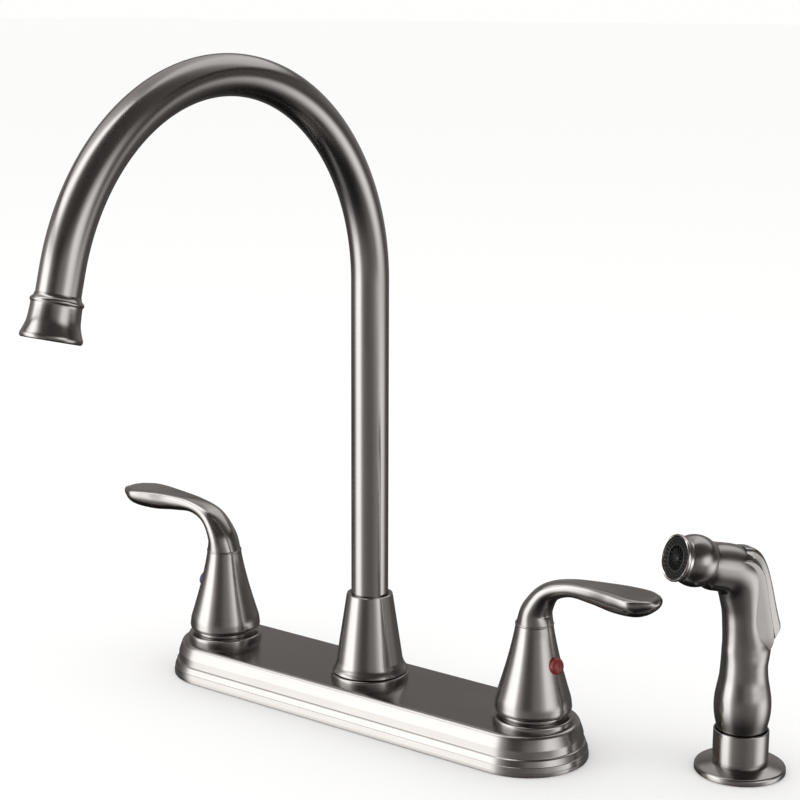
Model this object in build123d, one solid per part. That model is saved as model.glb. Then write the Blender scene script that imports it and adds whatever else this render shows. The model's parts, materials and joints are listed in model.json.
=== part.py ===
from build123d import *
import math
import os

# Kitchen faucet with two handles on an eight-inch deck plate, a swivelling gooseneck spout and a
# side spray in its own deck holder. Millimetres, +Z up. The origin is on the spout's axis in the
# plane of the deck; +X runs along the plate towards the side spray, and the spout reaches to -Y.

# ---- Fits shared by all pieces
seat_gap = 0.05           # radial clearance of pieces that stay together
running_gap = 0.05        # radial clearance of a shaft that turns or slides in its bearing
free_gap = 0.35           # clearance between pieces that move past each other

# ---- Deck plate
handle_spacing = 203.2    # eight inches between the two handle axes
plate_length = 257.4
plate_width = 62.9
plate_height = 18.6
plate_wall = 1.4
plate_band = 3.8          # height of the upright band at the foot
plate_ledge = 7.6         # height where the sloping ledge meets the upper wall
plate_step = 2.0          # how far the upper wall stands back from the band
plate_wall_top = 12.2     # height where the upper wall starts to lean in
plate_lean = 2.3          # how far the leaning wall comes in by the top
plate_lower_lean = 0.4    # how far the upper wall comes in below that
plate_crown_radius = 2.0
plate_edge_radius = 0.7
gasket_thickness = 1.5
deck_thickness = 22.0     # the worktop that the mounting nuts clamp
washer_reach = 9.0        # of a steel washer beyond its shank
washer_thickness = 1.5
nut_wall = 4.0
nut_height = 8.0
nut_wing_length = 10.0
nut_wing_thickness = 3.5
nut_wing_reach = 8.0      # of a wing beyond the nut's hub

# ---- Valve bodies, one under each handle
shank_radius = 10.4       # half-inch pipe thread on the inlets
shank_drop = 56.0
shank_free_length = 18.0  # thread left below the nuts for the supply line
thread_relief = 1.6       # width of the relief groove above the free thread
thread_relief_depth = 0.8
water_bore = 5.5
valve_boss_radius = 14.5
valve_neck_radius = 12.0
valve_neck_top = 28.0
valve_floor = 14.0        # floor of the cartridge bore
cartridge_radius = 9.0
cartridge_flange_radius = 11.2
cartridge_flange = 1.6
cartridge_neck_radius = 6.4
cartridge_neck_top = 35.0
cartridge_cavity_radius = 7.7
cartridge_cavity_top = 24.4
port_radius = 2.4
port_offset = 4.4         # of the two ports from the valve's axis
seal_thickness = 1.4
seal_proud = 0.6          # how far the seal stands below the cartridge
disc_thickness = 3.0
moving_disc_thickness = 2.6
stem_radius = 4.0
stem_foot_radius = 7.2
stem_top = 57.0
bonnet_across_flats = 25.0
bonnet_lip = 1.6
cross_tube_radius = 5.0
cross_tube_wall = 1.0
cross_tube_height = 9.2
cross_tube_depth = 5.0    # how deep each end sits in its socket

# ---- Trim rings on the plate
ring_thickness = 3.0
trim_ring_radius = 20.0
spout_ring_radius = 20.3
ring_edge_radius = 0.8

# ---- Handles
bell_foot = 24.0          # lower edge of the bell
bell_top = 67.4
bell_foot_radius = 17.6
bell_max_radius = 19.1
bell_max_height = 26.2
bell_low_radius = 16.9
bell_low_height = 35.9
bell_mid_radius = 13.0
bell_mid_height = 49.7
bell_high_radius = 10.4
bell_high_height = 61.0
bell_top_radius = 9.25
bell_wall = 1.8
bell_boss_foot = 42.0     # underside of the boss that takes the stem
tenon_radius = 4.9
tenon_depth = 7.0
bead_height = 1.4
bead_proud = 0.45
right_rest_turn = -3.3    # turn of each lever from the plate's line when its valve is shut
left_rest_turn = -1.8
button_height = 49.0
button_radius = 4.0
button_depth = 2.6
button_dome = 1.1
screw_radius = 2.5
screw_length = 5.0

# Lever stations: out from the handle's axis, height, half width, half thickness, share of the
# thickness above the side edges. The neck rises from the bell, bends over and swells to a
# teardrop paddle with a flat top and a full belly.
lever_stations = [
    (0.0, bell_top, 9.2, 9.2, 0.50),
    (1.4, 75.5, 8.9, 7.1, 0.50),
    (8.4, 85.2, 7.5, 5.2, 0.48),
    (20.5, 89.8, 5.9, 4.3, 0.42),
    (35.0, 90.2, 7.0, 5.2, 0.34),
    (48.0, 89.7, 9.6, 6.0, 0.28),
    (59.5, 89.8, 11.1, 5.4, 0.25),
    (66.2, 91.3, 8.0, 3.6, 0.25),
    (69.4, 92.6, 4.6, 1.6, 0.25),
]
lever_tip = (70.4, 93.0)

# ---- Spout and its socket
spout_radius = 9.525      # three-quarter-inch tube
spout_wall = 1.0
spout_rise = 225.7        # height where the bend starts
spout_bend_radius = 104.1
spout_bend_angle = 164.8
spout_tail = 12.0         # straight length inside the outlet bell
spout_foot = 30.0         # lower end of the tube
centre_boss_radius = 16.0
centre_neck_radius = 13.0
socket_radius = 9.6
socket_floor = 17.0
chamber_radius = 7.0
chamber_floor = 4.0
clip_foot = 46.0          # split ring that keeps the spout down
clip_thickness = 1.4
clip_radius = 11.4
clip_groove = 0.5
clip_split = 5.0
ferrule_radius = 9.35
ferrule_bore = 6.6
ferrule_spigot = 9.0
o_ring_heights = (20.6, 25.6)
o_ring_section = 0.75
hub_foot = 22.2
hub_foot_radius = 19.6
hub_flare_radius = 17.2
hub_flare_height = 28.0
hub_top_radius = 11.9
hub_top = 63.5
hub_top_chamfer = 0.6
bearing_foot = 54.0
bearing_lip = 1.2
bearing_radius = 10.85

# ---- Outlet bell and aerator, measured along the outlet from the end of the bend
bell_start = 10.2
bead_centre = 13.2
outlet_bead_radius = 11.3
waist_start = 15.4
waist_radius = 10.75
outlet_mid = 21.5
outlet_mid_radius = 11.2
outlet_foot = 27.2
outlet_foot_radius = 13.0
outlet_end = 29.4
outlet_end_radius = 12.3
aerator_radius = 9.3
aerator_top = 15.4
aerator_recess = 1.0
aerator_wall = 1.2
aerator_screen_thickness = 1.0
aerator_washer_thickness = 1.6

# ---- Diverter
nipple_radius = 6.6
nipple_bore = 3.2
nipple_foot = -32.0
nipple_free_length = 14.0
diverter_disc_radius = 5.2
diverter_disc_thickness = 2.0
diverter_stem_radius = 1.6
diverter_travel = 6.0
cage_thickness = 3.0

# ---- Side spray: its own deck hole, and the turn of its nozzle away from -Y
spray_x = 190.4
spray_y = 47.1
spray_turn = -28.7
flange_radius = 21.9
flange_edge = 3.0
flange_top = 4.6
holder_radius = 13.35
holder_top = 21.0
holder_mouth_radius = 12.4
holder_ledge = 10.5
holder_bore = 9.0
holder_shank_radius = 12.5
holder_drop = 44.0
holder_nut_height = 8.0
holder_nut_wall = 4.5
holder_washer_reach = 7.0
collar_flange_radius = 10.2
collar_spigot_radius = 6.0
collar_spigot_top = 25.0
collar_hex_foot = 3.0
hose_nipple_radius = 3.9
hose_nipple_bore = 2.6
hose_nipple_foot = -12.0
grip_foot = 14.5

head_back = -30.2         # centre of the ball-shaped collar
head_height = 108.3
waist_height = head_height - 55.3

# Turned lower part of the grip, from its foot inside the cup to the waist: radius, height.
grip_foot_radius = 10.4
cup_mouth_height = 21.6
column_height = waist_height - cup_mouth_height
grip_profile = [
    (grip_foot_radius, grip_foot),
    (12.0, cup_mouth_height),
    (13.7, cup_mouth_height + 0.347 * column_height),
    (12.8, cup_mouth_height + 0.637 * column_height),
    (11.3, waist_height),
]
# Stations of the part above the waist in the plane of the nozzle: forward is negative. Distance
# back from the holder's axis, drop below the ball's centre, lean of the section's normal in
# degrees, half depth, half width.
grip_stations = [(back, head_height - drop, *section) for back, drop, *section in (
    (0.0, 55.3, 90, 11.3, 11.3),
    (0.4, 51.3, 90, 11.6, 11.1),
    (0.7, 46.8, 90, 12.0, 10.6),
    (-0.3, 42.5, 90, 10.9, 10.1),
    (-2.4, 34.6, 93, 9.1, 9.6),
    (-3.0, 24.9, 101, 9.7, 9.6),
    (-4.4, 12.6, 125, 12.4, 10.2),
    (-10.0, 6.5, 148, 12.1, 10.6),
)]
head_tilt = 13.7          # degrees that the nozzle looks up
ball_radius = 12.4
ball_rear = -6.2          # along the head's axis, from the ball's centre
ball_front = 6.2
# Head stations: place along the head's axis from the ball's centre, rise of the section's middle
# above that axis, half depth, half width.
head_stations = [
    (-9.6, -1.2, 11.4, 10.5),
    (ball_rear, -0.4, 10.9, 10.4),
]
# Flat-sided shield round the trigger's slot, in the same plane, as (distance back, drop below the
# ball's centre): its rear line from the lower corner up to the head, and its front line, which
# lies inside the round column
shield_rear = [(back, head_height - drop) for back, drop in (
    (6.0, 49.7), (9.6, 45.9), (10.5, 41.3), (9.5, 34.9), (6.9, 23.3), (4.6, 12.3), (1.6, 5.3),
    (-3.0, 1.3), (-9.0, 0.1))]
shield_front = [(back, head_height - drop) for back, drop in (
    (-9.0, 10.3), (-5.0, 23.3), (-2.5, 34.3), (0.0, 44.3), (1.0, 49.3))]
shield_width = 18.7
shield_edge = 1.5
head_groove = 1.1
head_groove_radius = 10.3
nozzle_radius = 11.15
nozzle_front = 11.4
nozzle_rim = 1.2
head_spigot_radius = 8.1
head_spigot_front = 1.5
head_bore = 5.0
face_recess = 0.7
face_thickness = 2.6
face_well_radius = 4.6
face_well_depth = 1.4
face_fins = 12
grip_bore = 4.0           # the waterway rises behind the waist and then slants to the head
grip_bore_back = -3.0
grip_bore_top = head_height - 17.3
slant_start = grip_bore_top - 3.0   # height where the slanting waterway leaves the upright one
head_bore_start = -16.0   # along the head's axis

# ---- Trigger on the back of the spray, in the same plane, as (distance back, drop below the
# ball's centre): along its outer line, round its pointed lower end, and up its inner line
trigger_outer = [(back, head_height - drop) for back, drop in (
    (-4.7, -4.3), (0.0, -3.5), (3.6, -1.5), (6.4, 1.9), (9.2, 7.7), (12.0, 16.6), (14.6, 26.5),
    (17.0, 34.5))]
trigger_tip = (17.5, head_height - 37.1)
trigger_heel = (16.5, head_height - 38.9)
trigger_inner = [(back, head_height - drop) for back, drop in (
    (11.3, 43.6), (9.5, 36.3), (7.4, 26.8), (5.6, 17.5), (3.9, 10.5), (1.8, 6.1), (-1.5, 3.4))]
trigger_press = 5.2       # degrees that the trigger turns when it is pressed
trigger_width = 11.4
trigger_crown = 2.6
pivot_back = -2.0
pivot_depth = 4.2         # of the pin below the trigger's top
pivot_height = trigger_outer[1][1] - pivot_depth
pivot_pin_radius = 1.1
pivot_pin_length = 16.0
plunger_height = head_height - 22.1
plunger_radius = 1.6
plunger_head = 5.85
plunger_disc_back = -2.0   # rear face of the valve disc, back from the holder's axis
valve_disc_radius = 2.4
valve_disc_thickness = 1.2

half_spacing = handle_spacing / 2
plate_underside = plate_height - plate_wall
ring_top = plate_height + ring_thickness
nut_face = -deck_thickness


def face_of(*edges):
    """A flat face inside the closed loop of the given edges."""
    return Face(Wire(edges))


def turned(*corners):
    """A solid of revolution about Z, from corners given as (radius, height)."""
    return revolve(Face(Polyline(*[(r, 0, z) for r, z in corners], close=True)), Axis.Z)


def ring(inner, outer, low, high):
    return turned((inner, low), (outer, low), (outer, high), (inner, high))


def rod(radius, low, high):
    return turned((0, low), (radius, low), (radius, high), (0, high))


def hexagon(across_flats, low, high):
    """An upright six-sided bar."""
    outline = RegularPolygon(across_flats / 2, 6, major_radius=False)
    return extrude(Pos(0, 0, low) * outline, high - low)


def at_side(solid, side):
    """Places a piece that was made on the Z axis, its outward side to +X, under a handle."""
    placed = Pos(half_spacing, 0, 0) * solid
    return placed if side > 0 else mirror(placed, Plane.YZ)


def on_handle(solid, side):
    """Places a piece that turns with a handle, with the handle's turn when shut."""
    turn = right_rest_turn if side > 0 else -left_rest_turn
    return at_side(Rot(0, 0, turn) * solid, side)


# ---- Deck plate and gasket

def plate_section(inset, foot):
    """Half of the plate's upright section, from the middle out to +Y."""
    wall = plate_width / 2 - inset
    top = plate_height - inset
    upper = wall - plate_step
    outline = Polyline(
        (0, 0, foot), (0, wall, foot), (0, wall, plate_band), (0, upper, plate_ledge),
        (0, upper - plate_lower_lean, plate_wall_top),
        (0, upper - plate_lower_lean - plate_lean, top), (0, 0, top), close=True)
    section = Face(outline)
    crown = section.vertices().sort_by_distance((0, upper - plate_lower_lean - plate_lean, top))[0]
    section = section.fillet_2d(plate_crown_radius - inset, [crown])
    steps = section.vertices().filter_by(lambda v: plate_band - 0.1 < v.Z < plate_ledge + 0.1)
    return section.fillet_2d(plate_edge_radius, steps)


def plate_block(inset, foot):
    """The plate's outside, or with an inset its inside, as a closed block with round ends."""
    section = plate_section(inset, foot)
    end_centre = plate_length / 2 - plate_width / 2
    left_end = Pos(-end_centre, 0, 0) * revolve(section, Axis.Z, 180)
    right_end = Rot(0, 0, 180) * left_end
    back = Pos(-end_centre, 0, 0) * extrude(section, 2 * end_centre, dir=(1, 0, 0))
    front = mirror(back, Plane.XZ)
    return left_end + right_end + back + front


def deck_plate():
    plate = plate_block(0, 0) - plate_block(plate_wall, -1)
    neck_hole = rod(valve_neck_radius + seat_gap, 0, plate_height + 1)
    plate -= rod(centre_neck_radius + seat_gap, 0, plate_height + 1)
    for side in (-1, 1):
        plate -= at_side(neck_hole, side)
    return plate


def base_gasket():
    """Flat rubber pad inside the plate's rim, with a hole for each shank."""
    inset = plate_wall + free_gap
    outline = SlotOverall(plate_length - 2 * inset, plate_width - 2 * inset)
    pad = extrude(outline, gasket_thickness)
    shank_hole = rod(shank_radius + free_gap, -1, gasket_thickness + 1)
    pad -= rod(nipple_radius + free_gap, -1, gasket_thickness + 1)
    for side in (-1, 1):
        pad -= at_side(shank_hole, side)
    return pad


# ---- Valve bodies

def valve_body():
    """Brass casting: inlet shank through the deck, boss under the plate, cartridge neck."""
    foot = -shank_drop
    relief_top = foot + shank_free_length + thread_relief
    body = turned(
        (0, foot), (shank_radius, foot), (shank_radius, gasket_thickness),
        (valve_boss_radius, gasket_thickness), (valve_boss_radius, plate_underside),
        (valve_neck_radius, plate_underside), (valve_neck_radius, valve_neck_top),
        (0, valve_neck_top))
    relief = ring(shank_radius - thread_relief_depth, shank_radius + 1,
                  relief_top - thread_relief, relief_top)
    cartridge_bore = rod(cartridge_radius + seat_gap, valve_floor, valve_neck_top)
    inlet = Pos(port_offset, 0, 0) * rod(port_radius, 0, valve_floor)
    outlet = Pos(-port_offset, 0, 0) * rod(port_radius, cross_tube_height, valve_floor)
    water = rod(water_bore, foot, cross_tube_height - cross_tube_radius)
    drilling = Rot(0, -90, 0) * rod(cross_tube_radius - cross_tube_wall, port_offset, valve_boss_radius)
    socket = Rot(0, -90, 0) * rod(cross_tube_radius + seat_gap,
                                  valve_boss_radius - cross_tube_depth, valve_boss_radius)
    lift = Pos(0, 0, cross_tube_height)
    return body - relief - cartridge_bore - water - inlet - outlet - lift * drilling - lift * socket


def cross_tube():
    """Copper tube from a valve body to the middle, soldered into a socket at each end."""
    outer_end = half_spacing - valve_boss_radius + cross_tube_depth
    inner_end = centre_boss_radius - cross_tube_depth
    tube = ring(cross_tube_radius - cross_tube_wall, cross_tube_radius, inner_end, outer_end)
    return Pos(0, 0, cross_tube_height) * Rot(0, 90, 0) * tube


def cartridge_housing():
    """Sleeve of the quarter-turn valve; its flange sits on the valve body's neck."""
    foot = valve_floor + seal_proud
    flange_top = valve_neck_top + cartridge_flange
    housing = turned(
        (cartridge_cavity_radius, foot), (cartridge_radius, foot),
        (cartridge_radius, valve_neck_top), (cartridge_flange_radius, valve_neck_top),
        (cartridge_flange_radius, flange_top), (cartridge_neck_radius, flange_top),
        (cartridge_neck_radius, cartridge_neck_top), (stem_radius + running_gap, cartridge_neck_top),
        (stem_radius + running_gap, cartridge_cavity_top),
        (cartridge_cavity_radius, cartridge_cavity_top))
    return housing


def cartridge_ports(low, high):
    """The inlet and outlet ports, as two bars to cut away."""
    port = rod(port_radius, low, high)
    return Pos(port_offset, 0, 0) * port + Pos(-port_offset, 0, 0) * port


def cartridge_seal():
    top = valve_floor + seal_thickness
    return rod(cartridge_cavity_radius - seat_gap, valve_floor, top) - cartridge_ports(valve_floor, top)


def fixed_disc():
    low = valve_floor + seal_thickness
    high = low + disc_thickness
    return rod(cartridge_cavity_radius - seat_gap, low, high) - cartridge_ports(low, high)


def moving_disc():
    """Ceramic disc with a waist-shaped recess below and a driving slot on top."""
    low = valve_floor + seal_thickness + disc_thickness
    high = low + moving_disc_thickness
    disc = rod(cartridge_cavity_radius - free_gap, low, high)
    recess = cartridge_ports(low, low + moving_disc_thickness / 2)
    slot = Pos(0, 0, high) * Box(2 * stem_foot_radius, 2.6, 2.0)
    return disc - Rot(0, 0, 90) * recess - slot


def stem():
    """Splined spindle that carries the bell and drives the moving disc with its tongue."""
    disc_top = valve_floor + seal_thickness + disc_thickness + moving_disc_thickness
    foot_top = cartridge_cavity_top - free_gap
    spindle = turned(
        (0, disc_top), (stem_foot_radius, disc_top), (stem_foot_radius, foot_top),
        (stem_radius, foot_top), (stem_radius, stem_top), (0, stem_top))
    tongue_height = 0.9
    tongue = Pos(0, 0, disc_top - tongue_height / 2) * Box(2 * stem_foot_radius - 4, 2.4, tongue_height)
    return spindle + tongue


def bonnet_nut():
    """Hexagon nut that clamps the cartridge's flange on the valve body."""
    flange_top = valve_neck_top + cartridge_flange
    nut = hexagon(bonnet_across_flats, ring_top, flange_top + bonnet_lip)
    nut -= rod(valve_neck_radius + seat_gap, ring_top, flange_top)
    return nut - rod(cartridge_neck_radius + free_gap, flange_top, flange_top + bonnet_lip)


def trim_ring(bore, outer):
    """Flat ring with a rounded edge, screwed down on the plate round a neck."""
    flat = ring(bore, outer, plate_height, ring_top)
    rim = flat.edges().filter_by(GeomType.CIRCLE).sort_by(lambda e: (e.radius, e.center().Z))[-1]
    return fillet(rim, ring_edge_radius)


# ---- Handles

def bell_slope():
    """Lean of the bell's wall at the index button, in degrees."""
    run = bell_low_radius - bell_high_radius
    return math.degrees(math.atan(run / (bell_high_height - bell_low_height)))


def bell_wall_radius():
    """The bell's outer radius at the height of the index button, by its three wall points."""
    low, mid, high = bell_low_height, bell_mid_height, bell_high_height
    z = button_height
    return (bell_low_radius * (z - mid) * (z - high) / ((low - mid) * (low - high))
            + bell_mid_radius * (z - low) * (z - high) / ((mid - low) * (mid - high))
            + bell_high_radius * (z - low) * (z - mid) / ((high - low) * (high - mid)))


def button_axis():
    """Plane on the bell's wall at the index button, its normal leading outwards."""
    slope = math.radians(bell_slope())
    normal = (math.cos(slope), 0, math.sin(slope))
    return Plane(origin=(bell_wall_radius(), 0, button_height), x_dir=(0, 1, 0), z_dir=normal)


def handle_bell():
    """Waisted bell over the cartridge, with the stem's boss inside and a pocket for the button."""
    wall = Spline(
        (bell_top_radius, 0, bell_top), (bell_high_radius, 0, bell_high_height),
        (bell_mid_radius, 0, bell_mid_height), (bell_low_radius, 0, bell_low_height),
        (bell_max_radius, 0, bell_max_height),
        tangents=((0.13, 0, -1), (0, 0, -1)))
    hem = TangentArc((bell_max_radius, 0, bell_max_height), (bell_foot_radius, 0, bell_foot),
                     tangent=(0, 0, -1))
    skirt = bell_foot_radius - bell_wall / 2
    inside = Polyline(
        (bell_foot_radius, 0, bell_foot), (skirt, 0, bell_foot),
        (bell_max_radius - bell_wall, 0, bell_max_height),
        (bell_low_radius - bell_wall, 0, bell_low_height),
        (bell_mid_radius, 0, bell_boss_foot), (stem_radius + seat_gap, 0, bell_boss_foot),
        (stem_radius + seat_gap, 0, stem_top + free_gap), (0, 0, stem_top + free_gap),
        (0, 0, bell_top - tenon_depth), (tenon_radius + seat_gap, 0, bell_top - tenon_depth),
        (tenon_radius + seat_gap, 0, bell_top), (bell_top_radius, 0, bell_top))
    bell = revolve(face_of(wall, hem, *inside.edges()), Axis.Z)
    pocket = button_axis() * rod(button_radius + seat_gap, -button_depth, 3)
    screw_hole = button_axis() * rod(screw_radius + seat_gap, -bell_mid_radius + 1, 0)
    return bell - pocket - screw_hole


def index_button():
    """Round coloured cap with a low dome, pressed into its pocket on the bell."""
    shoulder = button_dome / 3
    dome = TangentArc((0, 0, button_dome), (button_radius, 0, shoulder), tangent=(1, 0, 0))
    body = Polyline((button_radius, 0, shoulder), (button_radius, 0, -button_depth),
                    (0, 0, -button_depth), (0, 0, button_dome))
    return button_axis() * revolve(face_of(dome, *body.edges()), Axis.Z)


def set_screw():
    """Socket screw under the button; it bites on the stem through the bell's boss."""
    tip = -(bell_wall_radius() - stem_radius) / math.cos(math.radians(bell_slope()))
    screw = rod(screw_radius, tip + seat_gap, tip + screw_length)
    socket = hexagon(2.5, tip + screw_length - 2.5, tip + screw_length)
    return button_axis() * (screw - socket) - rod(stem_radius, 0, stem_top)


def lever_directions():
    """Unit direction of the lever's centre line at each station, upwards at the bell."""
    directions = [(0.0, 1.0)]
    points = [(s[0], s[1]) for s in lever_stations] + [lever_tip]
    for before, after in zip(points, points[2:]):
        run, rise = after[0] - before[0], after[1] - before[1]
        length = math.hypot(run, rise)
        directions.append((run / length, rise / length))
    return directions


def lever_section(station, direction):
    """A section with a flat top and a full belly: two half ellipses that share their width."""
    out, height, half_width, half_thickness, top_share = station
    run, rise = direction
    top = 2 * half_thickness * top_share
    belly = 2 * half_thickness - top
    plane = Plane(origin=(out, 0, height), x_dir=(0, 1, 0), z_dir=(run, 0, rise))
    middle = (0, half_thickness - top)
    over = EllipticalCenterArc(middle, half_width, top, 0, arc_size=180)
    under = EllipticalCenterArc(middle, half_width, belly, 180, arc_size=180)
    return plane * face_of(over, under)


def lever():
    """Swan-neck lever with its tenon and the bead that covers the joint with the bell."""
    sections = [lever_section(s, d) for s, d in zip(lever_stations, lever_directions())]
    blade = loft(sections + [Vertex(lever_tip[0], 0, lever_tip[1])])
    tenon = rod(tenon_radius, bell_top - tenon_depth + seat_gap, bell_top + 1)
    edge = bell_top_radius
    curve = ThreePointArc((edge, 0, bell_top), (edge + bead_proud, 0, bell_top + bead_height / 2),
                          (edge, 0, bell_top + bead_height))
    back = Polyline((edge, 0, bell_top + bead_height), (edge - 3, 0, bell_top + bead_height),
                    (edge - 3, 0, bell_top), (edge, 0, bell_top))
    bead = revolve(face_of(curve, *back.edges()), Axis.Z)
    return blade + bead + tenon


# ---- Spout socket, hub and spout

def centre_body():
    """Brass casting in the middle: diverter chamber, spout socket and the cross tubes' sockets."""
    neck_top = clip_foot - free_gap
    body = turned(
        (0, gasket_thickness), (centre_boss_radius, gasket_thickness),
        (centre_boss_radius, plate_underside), (centre_neck_radius, plate_underside),
        (centre_neck_radius, neck_top), (0, neck_top))
    body -= rod(socket_radius, socket_floor, neck_top)
    body -= rod(chamber_radius, chamber_floor, socket_floor)
    body -= rod(nipple_bore, gasket_thickness, chamber_floor)
    side_way = Pos(0, 0, cross_tube_height) * Rot(0, 90, 0)
    reach = centre_boss_radius + 1
    body -= side_way * rod(cross_tube_radius - cross_tube_wall, -reach, reach)
    tube_end = centre_boss_radius - cross_tube_depth
    for low, high in ((-reach, -tube_end), (tube_end, reach)):
        body -= side_way * rod(cross_tube_radius + seat_gap, low, high)
    return body


def hose_nipple():
    """Threaded nipple below the middle casting, where the spray's hose screws on."""
    relief_top = nipple_foot + nipple_free_length + thread_relief
    nipple = turned(
        (nipple_bore, nipple_foot), (nipple_radius, nipple_foot),
        (nipple_radius, gasket_thickness), (nipple_bore, gasket_thickness))
    relief = ring(nipple_radius - thread_relief_depth, nipple_radius + 1,
                  relief_top - thread_relief, relief_top)
    return nipple - relief


def diverter_cage():
    """Guide for the poppet at the top of the chamber: a rim, three arms and a guide eye."""
    top = socket_floor
    low = top - cage_thickness
    eye = diverter_stem_radius + 1.2
    cage = ring(chamber_radius - 1.4, chamber_radius - seat_gap, low, top)
    cage += ring(diverter_stem_radius + running_gap, eye, low, top)
    arm_length = chamber_radius - 1 - eye
    arm = Pos(eye - 0.3 + arm_length / 2, 0, (low + top) / 2) * Box(arm_length + 0.6, 1.4, cage_thickness)
    for step in range(3):
        cage += Rot(0, 0, 120 * step + 90) * arm
    return cage


def diverter_poppet():
    """Disc that closes the hose's port at rest and lifts to throttle the spout."""
    disc_top = chamber_floor + diverter_disc_thickness
    return turned(
        (0, chamber_floor), (diverter_disc_radius, chamber_floor),
        (diverter_disc_radius, disc_top), (diverter_stem_radius, disc_top),
        (diverter_stem_radius, socket_floor + 1), (0, socket_floor + 1))


def spout_hub():
    """Tapered sleeve screwed on the neck; it holds the split ring down and the bearing up."""
    clip_top = clip_foot + clip_thickness
    flare = ThreePointArc((hub_flare_radius, 0, hub_flare_height),
                          (hub_flare_radius + 0.75, 0, hub_flare_height - 2.6),
                          (hub_foot_radius, 0, hub_foot + 0.7))
    outline = Polyline(
        (hub_foot_radius, 0, hub_foot + 0.7), (hub_foot_radius, 0, hub_foot),
        (centre_neck_radius + seat_gap, 0, hub_foot),
        (centre_neck_radius + seat_gap, 0, clip_foot - free_gap),
        (clip_radius + free_gap, 0, clip_foot - free_gap), (clip_radius + free_gap, 0, clip_top + free_gap),
        (spout_radius + free_gap, 0, clip_top + free_gap), (spout_radius + free_gap, 0, bearing_foot),
        (bearing_radius + seat_gap, 0, bearing_foot), (bearing_radius + seat_gap, 0, hub_top - bearing_lip),
        (spout_radius + free_gap, 0, hub_top - bearing_lip), (spout_radius + free_gap, 0, hub_top),
        (hub_top_radius - hub_top_chamfer, 0, hub_top), (hub_top_radius, 0, hub_top - hub_top_chamfer),
        (hub_flare_radius, 0, hub_flare_height))
    return revolve(face_of(flare, *outline.edges()), Axis.Z)


def spout_bearing():
    return ring(spout_radius + running_gap, bearing_radius, bearing_foot + seat_gap,
                hub_top - bearing_lip - seat_gap)


def outlet_frame():
    """Plane at the end of the bend, its Z axis leading out of the spout."""
    angle = math.radians(spout_bend_angle)
    end = (0, spout_bend_radius * (math.cos(angle) - 1), spout_rise + spout_bend_radius * math.sin(angle))
    return Plane(origin=end, x_dir=(1, 0, 0), z_dir=(0, -math.sin(angle), math.cos(angle)))


def tube_about(radius):
    """A solid bar of the given radius along the spout's centre line."""
    centre = (0, -spout_bend_radius, spout_rise)
    riser = rod(radius, spout_foot, spout_rise)
    section = Pos(0, 0, spout_rise) * Circle(radius)
    bend = revolve(section, Axis(centre, (1, 0, 0)), spout_bend_angle)
    tail = outlet_frame() * rod(radius, 0, spout_tail)
    return riser + bend + tail


def spout_tube():
    tube = tube_about(spout_radius) - tube_about(spout_radius - spout_wall)
    groove = ring(spout_radius - clip_groove, spout_radius + 1, clip_foot - seat_gap,
                  clip_foot + clip_thickness + seat_gap)
    return tube - groove


def spout_ferrule():
    """Brass end of the spout with two grooves, brazed into the tube."""
    foot = socket_floor + free_gap
    ferrule = turned(
        (ferrule_bore, foot), (ferrule_radius, foot), (ferrule_radius, spout_foot),
        (spout_radius - spout_wall - seat_gap, spout_foot),
        (spout_radius - spout_wall - seat_gap, spout_foot + ferrule_spigot),
        (ferrule_bore, spout_foot + ferrule_spigot))
    for height in o_ring_heights:
        half = o_ring_section + seat_gap
        floor = socket_radius - seat_gap - 2 * o_ring_section - seat_gap
        ferrule -= ring(floor, ferrule_radius + 1, height - half, height + half)
    return ferrule


def spout_o_rings():
    centre = socket_radius - running_gap - o_ring_section
    return Compound([Pos(0, 0, height) * Torus(centre, o_ring_section) for height in o_ring_heights])


def spout_clip():
    """Split ring in the spout's groove."""
    clip = ring(spout_radius - clip_groove + seat_gap, clip_radius, clip_foot, clip_foot + clip_thickness)
    return clip - Pos(0, clip_radius, clip_foot) * Box(clip_split, clip_radius, 4 * clip_thickness)


def outlet_bell():
    """Flared end of the spout, brazed over the tube: bead, waist and thick rounded foot."""
    tube_seat = spout_radius + seat_gap
    bead = ThreePointArc(
        (outlet_bead_radius - 0.5, 0, bead_centre - 1), (outlet_bead_radius, 0, bead_centre),
        (outlet_bead_radius - 0.5, 0, bead_centre + 1))
    cove = ThreePointArc((tube_seat + 0.15, 0, bell_start), (tube_seat + 0.5, 0, bell_start + 1.3),
                         (outlet_bead_radius - 0.5, 0, bead_centre - 1))
    flare = Spline((waist_radius, 0, waist_start), (outlet_mid_radius, 0, outlet_mid),
                   (outlet_foot_radius, 0, outlet_foot), tangents=((0, 0, 1), (0.35, 0, 1)))
    rim = ThreePointArc(
        (outlet_foot_radius, 0, outlet_foot),
        (outlet_foot_radius - 0.1, 0, outlet_end - 0.6), (outlet_end_radius, 0, outlet_end))
    step = Line((outlet_bead_radius - 0.5, 0, bead_centre + 1), (waist_radius, 0, waist_start))
    inside = Polyline(
        (outlet_end_radius, 0, outlet_end), (aerator_radius + seat_gap, 0, outlet_end),
        (aerator_radius + seat_gap, 0, aerator_top), (spout_radius - spout_wall, 0, aerator_top),
        (spout_radius - spout_wall, 0, spout_tail), (tube_seat, 0, spout_tail),
        (tube_seat, 0, bell_start), (tube_seat + 0.15, 0, bell_start))
    profile = face_of(cove, bead, step, flare, rim, *inside.edges())
    return outlet_frame() * revolve(profile, Axis.Z)


def aerator_low():
    return outlet_end - aerator_recess


def aerator_housing():
    foot = aerator_low()
    housing = turned(
        (aerator_radius, aerator_top + aerator_washer_thickness), (aerator_radius, foot),
        (aerator_radius - aerator_wall, foot),
        (aerator_radius - aerator_wall, aerator_top + aerator_washer_thickness))
    return outlet_frame() * housing


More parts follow.
